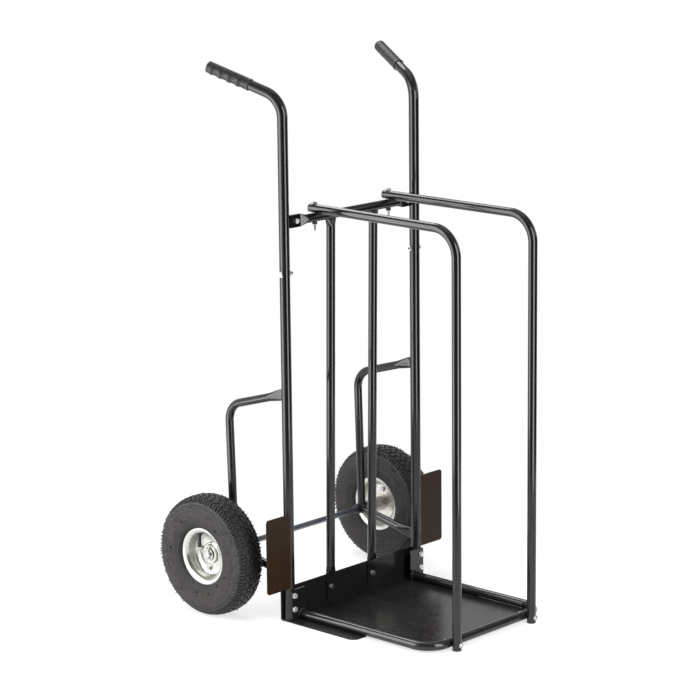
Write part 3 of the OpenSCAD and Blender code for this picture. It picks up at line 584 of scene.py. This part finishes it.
def tread_blocks(turns, q, half_along, half_across, slant, side, top=0.0004, foot=None):
    """Blocks on the tyre, all at once. Each is a 6 x 6 grid: its rim of points lies in the groove, the
    next ring stands just inside it at the top, and (a, b) on it lies at q + b, turn + (a + slant b) / r."""
    a = np.array([-1.0, -0.88, -0.3, 0.3, 0.88, 1.0])
    up = np.where(np.abs(a) == 1.0, 0.0, 1.0)
    up = np.minimum(up[:, None], up[None, :])
    along_it, across_it = half_along * a[:, None], half_across * a[None, :]
    place = np.broadcast_to(q, turns.shape)[:, None, None] + across_it[None]
    low = -groove(place) - 0.0004 if foot is None else np.full_like(place, foot)
    lift = low + (top - low) * up[None]
    radius = np.interp(place, OUTLINE[0], OUTLINE[1])
    angle = turns[:, None, None] + (along_it[None] + slant * across_it[None]) / radius
    points = on_tyre(place, angle, lift, side)
    quads = woven(np.zeros((6, 6, 3)))[1]
    quads = (quads[None] + 36 * np.arange(len(turns))[:, None, None]).reshape(-1, 4)
    return points.reshape(-1, 3), quads


def tread_rows(side):
    """All blocks: a chain of slanting blocks in the middle, staggered blocks beside it, lugs on the
    shoulders that make the tyre's toothed edge, and fine buttress ribs below them."""
    parts, count = [], 50
    pitch = FULL_TURN / count
    base, halves, quarters = (np.arange(many * count) * pitch / many for many in (1, 2, 4))
    for hand in (-1, 1):
        parts += [
            tread_blocks(base + 0.25 * hand * pitch, 0.0048 * hand, 0.0062, 0.0042, 0.55 * hand, side),
            tread_blocks(base + (0.5 + 0.1 * hand) * pitch, 0.0160 * hand, 0.0050, 0.0052, -0.55 * hand, side),
            tread_blocks(halves, np.tile([0.0292, 0.0312], count) * hand, 0.0026, 0.0062, 0.30 * hand, side, 0.0008),
            tread_blocks(quarters, 0.0440 * hand, 0.0010, 0.0034, 0.0, side, 0.0007, -0.0004)]
    return parts


HAIR_ROWS = ((-0.0330, 78), (0.0322, 92), (-0.0110, 24))    # place along the outline, and how many
WALL_PIPS = ((55, 0.0855), (4, 0.0855), (-84, 0.0790), (-110, 0.0810), (201, 0.0825), (-134, 0.0735),
             (128, 0.0850))    # turn in degrees, and radius


def vent_hairs(side, seed):
    """Rubber hairs left by the mould's vents: thin bent rods, base + out length s + bend s^2, in rows over
    the tread and its shoulders, at seeded places."""
    rng = np.random.default_rng(seed)
    places = [(turn + rng.normal() * 0.012, q, rng.uniform(0.0034, 0.0058))
              for q, many in HAIR_ROWS
              for turn in np.arange(many) * FULL_TURN / many if math.sin(turn) > -0.93 and rng.random() < 0.82]
    parts = []
    for turn, q, length in places:
        foot = on_tyre(q, turn, -0.001, side)
        out = unit(on_tyre(q, turn, 0.01, side) - foot)
        bend = unit(np.cross(out, rng.normal(size=3))) * rng.uniform(0.0003, 0.0018)
        s = np.linspace(0, 1, 5)[:, None]
        parts.append(along(foot + out * length * s + bend * s ** 2, 0.00150 - 0.00080 * s[:, 0], 5))
    return parts


def wall_pips(side):
    """Short bare pips on the outer wall: rods 1.2 mm high that taper upwards."""
    table, radius = OUTLINE[:2]
    outer = slice(len(table) // 2, None)
    parts = []
    for turn, r in WALL_PIPS:
        q = np.interp(-r, -radius[outer], table[outer])
        ends = on_tyre(q, math.radians(turn), np.array([-0.0005, 0.0007, 0.0012]), side)
        parts.append(along(ends, np.array([0.0023, 0.0021, 0.0016]), 8))
    return parts


for where, side in SIDES.items():
    body = f"wheel_{where}"
    tyre = make_piece(f"tyre_body_{where}", [tyre_carcass(side)], TYRE, body, 50)
    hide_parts(f"tyre_{where}")
    make_piece(f"tyre_tread_{where}", tread_rows(side) + vent_hairs(side, 11 + side), TYRE, body, 30)
    make_piece(f"tyre_pips_{where}", wall_pips(side), BARE_RUBBER, body, 30)


# ---- rims, valves and hubs ----

def eased(points):
    """Closed outline with its corners cut twice: each pass puts points at 1/4 and 3/4 of every side."""
    for _ in range(2):
        after = np.roll(points, -1, axis=0)
        points = np.stack([0.75 * points + 0.25 * after, 0.25 * points + 0.75 * after], 1).reshape(-1, 2)
    return points


def turned(profile, side):
    """Closed outline of (across, radius) rows turned about the axle, on one wheel."""
    return woven(on_wheel(profile[:, 1, None], full_turn(128), profile[:, 0, None], side), True, True)


def rim_outline(hand, web):
    """Half rim pressed from sheet, as (across, radius): web with a raised collar round the hub (on the
    outboard half) and a shallow bead near its edge, rounded corner, barrel and rolled flange. The rows are
    counted from the web's front, from the rim's lip, and behind it from the lip and from the web's back."""
    t, collar = SHEET, 0.0024 if hand > 0 else 0.0
    rows = (
        (web + t, ((0, HUB_R + 0.0003), (collar, HUB_R + 0.0010), (collar, 0.0232), (0.0002, 0.0248), (0, 0.0262),
                   (0, 0.0372), (0.0008, 0.0385), (0.0008, 0.0400), (0, 0.0412), (0.0016, 0.0440),
                   (0.0045, 0.0468), (0.0100, SEAT_R - t))),
        (RIM_HALF, ((-0.0085, SEAT_R - t), (-0.0055, SEAT_R - 0.0002), (-0.0030, SEAT_R + 0.0016),
                    (-0.0010, SEAT_R + 0.0040), (0.0001, RIM_R - 0.0065), (0.0006, RIM_R - 0.0035),
                    (0.0006, RIM_R - 0.0008), (-0.0002, RIM_R + 0.0008), (-0.0018, RIM_R + 0.0008),
                    (-0.0034, RIM_R + 0.0002), (-0.0032, RIM_R - 0.0014), (-0.0020, RIM_R - 0.0040),
                    (-0.0030, SEAT_R + 0.0044), (-0.0052, SEAT_R + 0.0024), (-0.0080, SEAT_R))),
        (web, ((0.0100, SEAT_R), (0.0030, 0.0478), (0, 0.0425), (0, HUB_R + 0.0003))))
    return eased(np.array([(start + across, r) for start, part in rows for across, r in part]) * (hand, 1))


def valve_frame(side):
    """Where the valve stem leaves the inner tube, and the way it leads: in the wheel's own directions
    (outwards, round, outboard) it starts at (59.5, 0, 2) mm and leads along (-sin 61, 0, cos 61), with
    the angle in degrees."""
    turn, lean = math.radians(58), math.radians(61)
    outwards = np.array([0, math.cos(turn), math.sin(turn)])
    outboard = np.array([side, 0, 0])
    start = np.array([side * WHEEL_X, AXLE_Y, AXLE_Z]) + 0.0595 * outwards + 0.002 * outboard
    return start, unit(-math.sin(lean) * outwards + math.cos(lean) * outboard)


def valve_details(side):
    """Rubber cone round the stem where it leaves the rim, and a ribbed cap on its end: the cap's radius
    is 4.2 mm + 0.22 mm cos(16 w)."""
    start, way = valve_frame(side)
    cone = [(0.0105, 0.0), (0.0105, 0.0060), (0.0128, 0.0058), (0.0160, 0.0046), (0.0180, 0.0041), (0.0180, 0.0)]
    w = full_turn(96)
    h = np.array([0.0330, 0.0330, 0.0336, 0.0420, 0.0427, 0.0430, 0.0430])
    size = np.array([0.0, 0.95, 1.0, 1.0, 0.93, 0.70, 0.0])[:, None]
    ribbed = 0.0042 + 0.00022 * np.cos(16 * w)
    return [lathe(cone, start, way, 28), rings_about(start, square_to(way), h, size * ribbed, w)]


for where, side in SIDES.items():
    body = f"wheel_{where}"
    for half, old, hand in (("face", "outer", 1), ("back", "inner", -1)):
        outline = rim_outline(hand, hand * WEB_AT)
        rim = make_piece(f"rim_{half}_{where}", [turned(outline, side)], RIM_ZINC, body, 40)
        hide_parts(f"rim_{old}_{where}")
    make_piece(f"valve_cap_{where}", valve_details(side), BUTYL, body, 30)


# ---- bolts, nuts and pins ----

def hex_bolt(at, way, length, threaded=0.012):
    """Bolt that starts at a point and leads along a way: washer, chamfered head, shank and thread."""
    at, way = np.asarray(at, float), unit(way)
    run = min(threaded, length - 0.002)
    return [hexagon(at, -way, BOLT_ACROSS, HEAD_H, 0.3), washer(at - 0.0009 * way, way, 0.0064, BOLT_R, 0.0009),
            lathe([(-0.002, 0), (-0.002, BOLT_R), (length - run, BOLT_R), (length - run, 0)], at, way, 24),
            thread(at + (length - run) * way, way, BOLT_R, run)]


def hex_nut(at, way):
    """Nut with chamfered corners and a plain bore, seated at a point and standing along a way."""
    at, way = np.asarray(at, float), unit(way)
    return [hexagon(at, way, BOLT_ACROSS, NUT_H, 0.15, BOLT_R + 0.0001)]


def dome_nut(at, way):
    """Closed nut: a low hexagon under a dome whose height over its rim is sqrt(5.6^2 - r^2) - 0.2 mm."""
    at, way = np.asarray(at, float), unit(way)
    r = np.linspace(0.0048, 0.0, 12)
    dome = [(0.0, 0.0), (0.0, 0.0048), *zip(np.sqrt(0.0056 ** 2 - r * r) - 0.0002, r)]
    return [hexagon(at, way, BOLT_ACROSS, 0.0027, 0.2, 0.0, 0.0005), lathe(dome, at, way, 36)]


def fasteners(name, parts, body="barrow"):
    """One piece in place of a node of bolts, nuts or pins."""
    made = make_piece(f"{name}_detail", parts, finish_for(name), body, 30)
    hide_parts(name)


def on_both(way, *places):
    """Each place and the way on the right side, and their mirror images on the left."""
    return [((s * x, y, z), (s * way[0], way[1], way[2])) for x, y, z in places for s in (1, -1)]


BOLTED = (    # bolts, nuts, the kind of nut, where the heads sit and lead, the bolt's length, the nut's seat
    ("joint_bolts", "joint_nuts", hex_nut, on_both((-1, 0, 0), (UPRIGHT_X + UPRIGHT_R, 0, JOINT_BOLT_Z)),
     0.034, 0.022),
    ("tab_bolts", "tab_nuts", hex_nut, on_both((0, -1, 0), (0.1715, 0.0015, CROSS_Z)), 0.014, 0.007),
    ("hoop_bolts", "hoop_nuts", hex_nut, on_both((0, 0, -1), (HOOP_REAR_X, CROSS_Y, HOOP_Z + BASKET_R)),
     0.056, 0.038),
    ("lug_bolts", "lug_nuts", hex_nut, on_both((0, 1, 0), *((UPRIGHT_X, LUG_FACE_Y, z) for z in (0.026, 0.056))),
     0.035, 0.028),
    ("bar_bolts", "bar_nuts", hex_nut, on_both((0, 1, 0), (BAR_X, 0.007, 0.040)), 0.014, 0.007),
    ("foot_bolts", "dome_nuts", dome_nut, on_both((0, -1, 0), (HOOP_X, -0.3665, LOOP_Z)), 0.0415, 0.038))

for bolts, nuts, kind, places, length, seat in BOLTED:
    fasteners(bolts, [part for at, way in places for part in hex_bolt(at, way, length)])
    fasteners(nuts, [part for at, way in places for part in kind(np.add(at, np.multiply(way, seat)), way)])


def rim_bolts(side):
    """Four bolts on their circle, from the hub's flange through both halves of the rim, with their nuts."""
    parts = []
    for turn in BOLT_TURN + np.arange(4) * FULL_TURN / 4:
        back, front = (on_wheel(BOLT_CIRCLE_R, turn, WEB_AT + x, side) for x in (-SHEET - 0.003, SHEET))
        way = (side, 0, 0)
        parts += hex_bolt(back, way, 0.0122, 0.008) + hex_nut(front, way)
    return parts


def cotter_pin():
    """Split pins: a leg down through the axle, an eye on top, and two ends bent apart below."""
    gap, washer_thick, pin_r = 0.0003, 0.0018, 0.0015
    at = WHEEL_X + HUB_OUT + gap + washer_thick + pin_r
    w = np.linspace(-0.5 * math.pi, 1.5 * math.pi, 25)[:, None]
    eye = np.array([at, AXLE_Y, AXLE_Z + 0.0135]) + 0.0030 * (np.cos(w) * [0, 1, 0] + np.sin(w) * [0, 0, 1])
    leg = np.array([[at, AXLE_Y, AXLE_Z + h] for h in (0.0110, 0.0, -0.0095)])
    parts = []
    for hand in (-1, 1):
        s = np.linspace(0, 1, 6)[:, None]
        end = np.array([at, AXLE_Y, AXLE_Z - 0.0090]) + s * [0, 0.0042 * hand, 0] + s ** 1.6 * [0, 0, -0.0030]
        parts.append(along(end, 0.00075, 8))
    parts += [along(leg, 0.00148, 12), along(eye, 0.0011, 10)]
    return mirrored(parts)


for where, side in SIDES.items():
    fasteners(f"rim_bolts_{where}", rim_bolts(side), f"wheel_{where}")
fasteners("cotter_pins", cotter_pin())


# ---- braces, struts and joint lips ----

def pressed_tube(line, side):
    """Tube pressed flat at its start and swelling to round. At a distance s from the upright's axis its
    section is the superellipse |y / a|^n + |x / b|^n = 1, with x sideways and y square to it and to the
    line. a, b and n ease from 12 mm, 2 mm and 3 at s = 15 mm to 9 mm, 9 mm and 2 at s = 55 mm."""
    s = INSIDE_UPRIGHT + np.concatenate([[0], np.cumsum(np.linalg.norm(np.diff(line, axis=0), axis=1))])
    k = eased_step((s - 0.015) / 0.040)[:, None]
    a, b = (flat + k * (BRACE_R - flat) for flat in (PRESSED_HALF, PRESSED_THIN))
    n = 3 * (2 / 3) ** k
    ahead = np.gradient(line, axis=0)
    ahead /= np.linalg.norm(ahead, axis=1)[:, None]
    w = full_turn(64)[None, :]
    y = a * np.sign(np.cos(w)) * np.abs(np.cos(w)) ** (2 / n)
    x = b * np.sign(np.sin(w)) * np.abs(np.sin(w)) ** (2 / n)
    back = line[:, None, 0] - ahead[:, None, 1] * y
    height = line[:, None, 1] + ahead[:, None, 0] * y
    points = np.stack([side * (UPRIGHT_X + x), back, height], -1)
    ends = [np.repeat(points[i].mean(0)[None, None], 64, 1) for i in (0, -1)]
    return woven(np.concatenate([ends[0], points, ends[1]]), wrap_columns=True)


def brace_line():
    """Brace's axis as (back, height): from inside the upright, round a bend of radius R about a centre c,
    as c + R (cos w, sin w), and down to the sleeve."""
    top, foot = np.array([0, BRACE_TOP_Z]), np.array([AXLE_Y, AXLE_Z])
    first, second = unit(BRACE_CORNER - top), unit(foot - BRACE_CORNER)
    turn = math.acos(np.dot(first, second))
    reach = BRACE_BEND_R * math.tan(turn / 2)
    middle = BRACE_CORNER - first * reach + BRACE_BEND_R * np.array([first[1], -first[0]])
    w = math.atan2(first[0], -first[1]) - np.linspace(0, turn, 28)[:, None]
    bend = middle + BRACE_BEND_R * np.concatenate([np.cos(w), np.sin(w)], 1)
    run = np.linalg.norm(BRACE_CORNER - top) - reach - 0.001
    flat = top + first * np.linspace(INSIDE_UPRIGHT, run, 60)[:, None]
    down = np.linspace(bend[-1], foot - second * SHORT_OF_AXLE, 6)[1:]
    return np.concatenate([flat, bend, down])


def strut_line():
    """Strut's axis as (back, height): straight from inside the upright to the sleeve."""
    low, high = np.array([0, STRUT_LOW_Z]), np.array([AXLE_Y, AXLE_Z])
    run = np.linalg.norm(high - low) - SHORT_OF_AXLE
    return low + unit(high - low) * np.linspace(INSIDE_UPRIGHT, run, 60)[:, None]


for where, side in SIDES.items():
    for part, line in (("brace", brace_line()), ("strut", strut_line())):
        tube = make_piece(f"{part}_tube_{where}", [pressed_tube(line, side)], FRAME_COAT, "barrow", 60)
        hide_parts(f"{part}_{where}")
make_piece("joint_lips", [washer((side * UPRIGHT_X, 0, JOINT_Z - 0.0021), (0, 0, 1), 0.01145, 0.0106, 0.0020)
                          for side in SIDES.values()], FRAME_COAT, "barrow", 30)


# ---- weld beads ----

def saddle_weld(middle, host_axis, host_r, way, along_host, round_host):
    """Bead where a tube or bar meets a round tube from one way: around the meeting line
    middle + a cos w host_axis + b sin w side + way sqrt(host_r^2 - (b sin w)^2)."""
    host_axis, way = unit(host_axis), unit(way)
    sideways = np.cross(host_axis, way)
    w = np.linspace(0, FULL_TURN, 49)[:, None]
    b = round_host * np.sin(w)
    line = (np.asarray(middle, float) + along_host * np.cos(w) * host_axis + b * sideways
            + way * np.sqrt(np.maximum(host_r ** 2 - b ** 2, 0)))
    return weld_bead(line, 0.0019)


def straight_weld(start, end):
    """Bead along a straight seam."""
    return weld_bead(np.linspace(start, end, 12), 0.0017)


def ring_weld(middle, radius, u, v, bead, start=0.0, end=1.0):
    """Bead round a circle in the plane of u and v, between two shares of a full turn from u."""
    w = FULL_TURN * np.linspace(start, end, 49)[:, None]
    return weld_bead(np.asarray(middle, float) + radius * (np.cos(w) * u + np.sin(w) * v), bead)


def frame_welds():
    """Beads of the barrow frame on the right side: brace and strut at the upright and at the sleeve,
    wheel guard, tab and the upright's foot on the toe plate."""
    across, back, up = np.eye(3)
    axle = np.array([UPRIGHT_X, AXLE_Y, AXLE_Z])
    beads = [saddle_weld((UPRIGHT_X, 0, z), up, UPRIGHT_R, back, 0.0128, 0.0032) for z in (0.4888, 0.0983)]
    beads += [saddle_weld(axle, across, 0.0112, way, 0.0094, 0.0094)
              for way in ((0, 0.009, 0.312), (0, -AXLE_Y, STRUT_LOW_Z - AXLE_Z))]
    seams = [(x, y, z, 0.009) for z in (0.094, 0.154, 0.214) for x, y in ((0.2077, -0.0095), (0.2100, -0.0073))]
    seams += [(0.1900, y, CROSS_Z, 0.012) for y in (-0.0021, 0.0021)]
    beads += [straight_weld((x, y, z - half), (x, y, z + half)) for x, y, z, half in seams]
    return beads + [ring_weld((UPRIGHT_X, 0, 0.0032), 0.0112, across, back, 0.0018)]


def basket_welds():
    """Beads of the basket on the right side: the base loop's end on its lug, and the back bar's top."""
    across, _, up = np.eye(3)
    return [ring_weld((LOOP_X, LUG_FACE_Y - 0.0006, LOOP_Z), 0.0099, across, up, 0.0019, -0.19, 0.69),
            saddle_weld((BAR_X, CROSS_Y, CROSS_Z), across, BASKET_R, -up, 0.0138, 0.0036)]


make_piece("frame_weld_beads", mirrored(frame_welds()), FRAME_COAT, "barrow", 60)
make_piece("basket_weld_beads", mirrored(basket_welds()), BASKET_COAT, "barrow", 60)


# ---- rubber grips ----

def grip_surface(side):
    """Grip: rings of radius r(h, w) along the handle's end. r is the rubber's radius, plus a collar at
    its mouth, plus four finger ridges exp(-((h - ridge) / 3.4 mm)^2) with a wave between them on the lower
    half, less a round at the closed end. w = 0 points down, and the ridges are highest at w = GRIP_TURN,
    further outboard."""
    lean = unit(HANDLE_RISE)
    start = np.array([UPRIGHT_X, 0.0, HANDLE_CORNER_Z]) + HANDLE_RISE - lean * GRIP_LEN
    flat = unit([HANDLE_RISE[0], HANDLE_RISE[1], 0])
    low = unit(flat - np.dot(flat, lean) * lean)
    low = low if low[2] < 0 else -low
    rounding = np.linspace(0, math.pi / 2, 7)
    h = np.concatenate([[0.0, 0.0, 0.0008], np.linspace(0.0016, GRIP_LEN - 0.002, 84),
                        GRIP_LEN + 0.001 - 0.003 * (1 - np.sin(rounding))])
    w = full_turn(64)
    along_h = h[:, None]
    under = np.clip(np.cos(w - GRIP_TURN), 0, 1)[None, :] ** 0.6
    ridges = sum(np.exp(-((along_h - RIDGE_AT - RIDGE_PITCH * i) / RIDGE_WIDE) ** 2) for i in range(4))
    wave = np.cos(FULL_TURN * (along_h - RIDGE_AT) / RIDGE_PITCH) * (along_h > 0.015) * (along_h < 0.094)
    collar = 0.0007 * np.exp(-((along_h - 0.002) / 0.0022) ** 2)
    radius = GRIP_R + collar + (0.0010 * ridges + 0.0005 * wave) * under
    radius[-7:] -= 0.0032 * (1 - np.cos(rounding))[:, None]
    radius[0], radius[1] = 0.0108, GRIP_R - 0.0002
    middle = np.zeros((1, len(w)))
    points, quads = rings_about(start, (low, np.cross(lean, low), lean), np.concatenate([h[:1], h, h[-1:]]),
                                np.concatenate([middle, radius, middle]), w)
    return points * (side, 1, 1), quads


for where, side in SIDES.items():
    grip = make_piece(f"grip_sleeve_{where}", [grip_surface(side)], GRIP, "barrow", 50)
    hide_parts(f"grip_{where}")


# ---- floor, lamps and camera ----

def shown_to_the_eye(tree, out, plain, seen):
    """Camera, glossy and see-through rays meet what is seen, and all the others meet the plain one."""
    rays = node(tree, "LightPath").outputs
    eye = at_least(at_least(rays["Is Camera Ray"], rays["Is Glossy Ray"]), rays["Is Transmission Ray"])
    put(node(tree, out).inputs[0], node(tree, "MixShader", eye, plain.outputs[0], seen.outputs[0]).outputs[0])


def studio_floor():
    """Disc of floor: a grid of turns and radii. Near the cart it takes shadows, and far off it is plain
    white paper to the eye and in reflections."""
    radius = np.concatenate([[0.0], np.geomspace(0.4, 60.0, 24)])[:, None]
    turn = full_turn(96)
    points = np.stack(np.broadcast_arrays(radius * np.cos(turn), radius * np.sin(turn), -0.0004), -1)
    found, quads = woven(points, wrap_columns=True)
    material = bpy.data.materials.new("white_paper_floor")
    material.use_nodes = True
    tree = material.node_tree
    tree.nodes.clear()
    plain = node(tree, "BsdfDiffuse", (0.80, 0.80, 0.80))
    shaded = node(tree, "BsdfDiffuse", (0.46, 0.46, 0.46))
    glow, white = (node(tree, "Emission", (1.0, 1.0, 1.0), strength) for strength in (0.66, 1.0))
    near = node(tree, "AddShader", shaded.outputs[0], glow.outputs[0])
    length = node(tree, "VectorMath", place_in(tree), operation="LENGTH").outputs["Value"]
    far = ramp(times(length, 0.25), [(0.16, 0.0), (0.34, 1.0)])
    seen = node(tree, "MixShader", far, near.outputs[0], white.outputs[0])
    shown_to_the_eye(tree, "OutputMaterial", plain, seen)
    floor = laid_out("studio_floor", found, quads[:, ::-1], material)
    floor.data.validate()


def studio_air():
    """World: white to the eye and in reflections near the horizon, a dim grey overhead, and a soft fill."""
    world = bpy.data.worlds.new("studio_air")
    bpy.context.scene.world = world
    world.use_nodes = True
    tree = world.node_tree
    tree.nodes.clear()
    height = node(tree, "SeparateXYZ", node(tree, "TexCoord").outputs["Generated"]).outputs["Z"]
    seen = node(tree, "Background", ramp(height, [(0.30, 1.0), (0.62, 0.32)]), 1.0)
    fill = node(tree, "Background", (1.0, 1.0, 1.0), 0.30)
    shown_to_the_eye(tree, "OutputWorld", fill, seen)


def lamp_panel(name, at, width, height, radiance):
    """Flat lamp that looks down, with a power of radiance x pi x area. The eye doesn't see it."""
    lamp = bpy.data.lights.new(name, "AREA")
    lamp.shape = "RECTANGLE"
    lamp.size, lamp.size_y = width, height
    lamp.energy = radiance * math.pi * width * height
    made = bpy.data.objects.new(name, lamp)
    bpy.context.scene.collection.objects.link(made)
    made.location = at
    made.visible_camera = False
    return made


def softbox(name, bearing, distance, width, height, low, radiance, tilt=0.0):
    """Lamp panel at a bearing about the cart, counted from +X, upright and facing it, or tilted down."""
    toward = Vector((math.cos(bearing), math.sin(bearing), 0))
    at = Vector((0, -0.1, 0)) + toward * distance + Vector((0, 0, low + height / 2))
    facing = -toward + Vector((0, 0, -math.tan(tilt)))
    made = lamp_panel(name, at, width, height, radiance)
    made.rotation_euler = facing.to_track_quat("-Z", "Y").to_euler()


def black_card(name, bearing, distance, width, height):
    """Black card that stands on the floor at a bearing about the cart, and is met by reflections alone:
    a flat grid of across = -width / 2..width / 2 and up = 0..height, square to the bearing."""
    toward = np.array([math.cos(bearing), math.sin(bearing), 0])
    sideways = np.array([-toward[1], toward[0], 0])
    across = np.linspace(-width / 2, width / 2, 5)[:, None, None] * sideways
    up = np.linspace(0.001, height, 5)[None, :, None] * np.array([0, 0, 1])
    found, quads = woven(np.array([0, -0.1, 0]) + toward * distance + across + up)
    material, tree = new_finish("black_card", roughness=0.9, specular=0.1)
    put(tree.nodes["Principled BSDF"].inputs["Base Color"], (0.01, 0.01, 0.01))
    card = laid_out(name, found, quads, material)
    card.visible_camera = card.visible_diffuse = card.visible_shadow = card.visible_transmission = False


TO_CAMERA = math.atan2(-0.6816, -0.7317)    # bearing of the camera from the cart
studio_floor()
studio_air()
softbox("tall_softbox_left", TO_CAMERA - math.radians(71), 1.35, 1.0, 1.7, 0.0, 5.0)
softbox("narrow_softbox_right", TO_CAMERA + math.radians(38), 1.35, 0.60, 1.7, 0.0, 6.0)
softbox("high_panel_behind", TO_CAMERA + math.radians(208), 1.8, 1.3, 1.3, 2.05, 6.5, math.radians(46))
lamp_panel("top_panel", (0.2, 0.2, 3.2), 2.2, 2.2, 0.8)
black_card("card_by_camera", TO_CAMERA - math.radians(6), 1.2, 1.2, 1.7)
black_card("card_on_right", TO_CAMERA + math.radians(88), 1.5, 2.0, 1.0)

azimuth, elevation, roll = math.radians(-47.0245), math.radians(12.424), math.radians(-0.617)
forward = Vector((-math.sin(azimuth) * math.cos(elevation), math.cos(azimuth) * math.cos(elevation),
                  -math.sin(elevation)))
level = Vector((math.cos(azimuth), math.sin(azimuth), 0))
upward = level.cross(forward)
right = math.cos(roll) * level + math.sin(roll) * upward
upward = math.cos(roll) * upward - math.sin(roll) * level
lens = bpy.data.cameras.new("photo_camera")
lens.sensor_width = 36.0
lens.lens = 137.185
lens.clip_end = 200.0
camera = bpy.data.objects.new("photo_camera", lens)
bpy.context.scene.collection.objects.link(camera)
stand = Matrix((right, upward, -forward)).transposed().to_4x4()
stand.translation = (-4.05911, -3.77545, 1.77283)
camera.matrix_world = stand
bpy.context.scene.camera = camera
bpy.context.scene.view_settings.view_transform = "Standard"
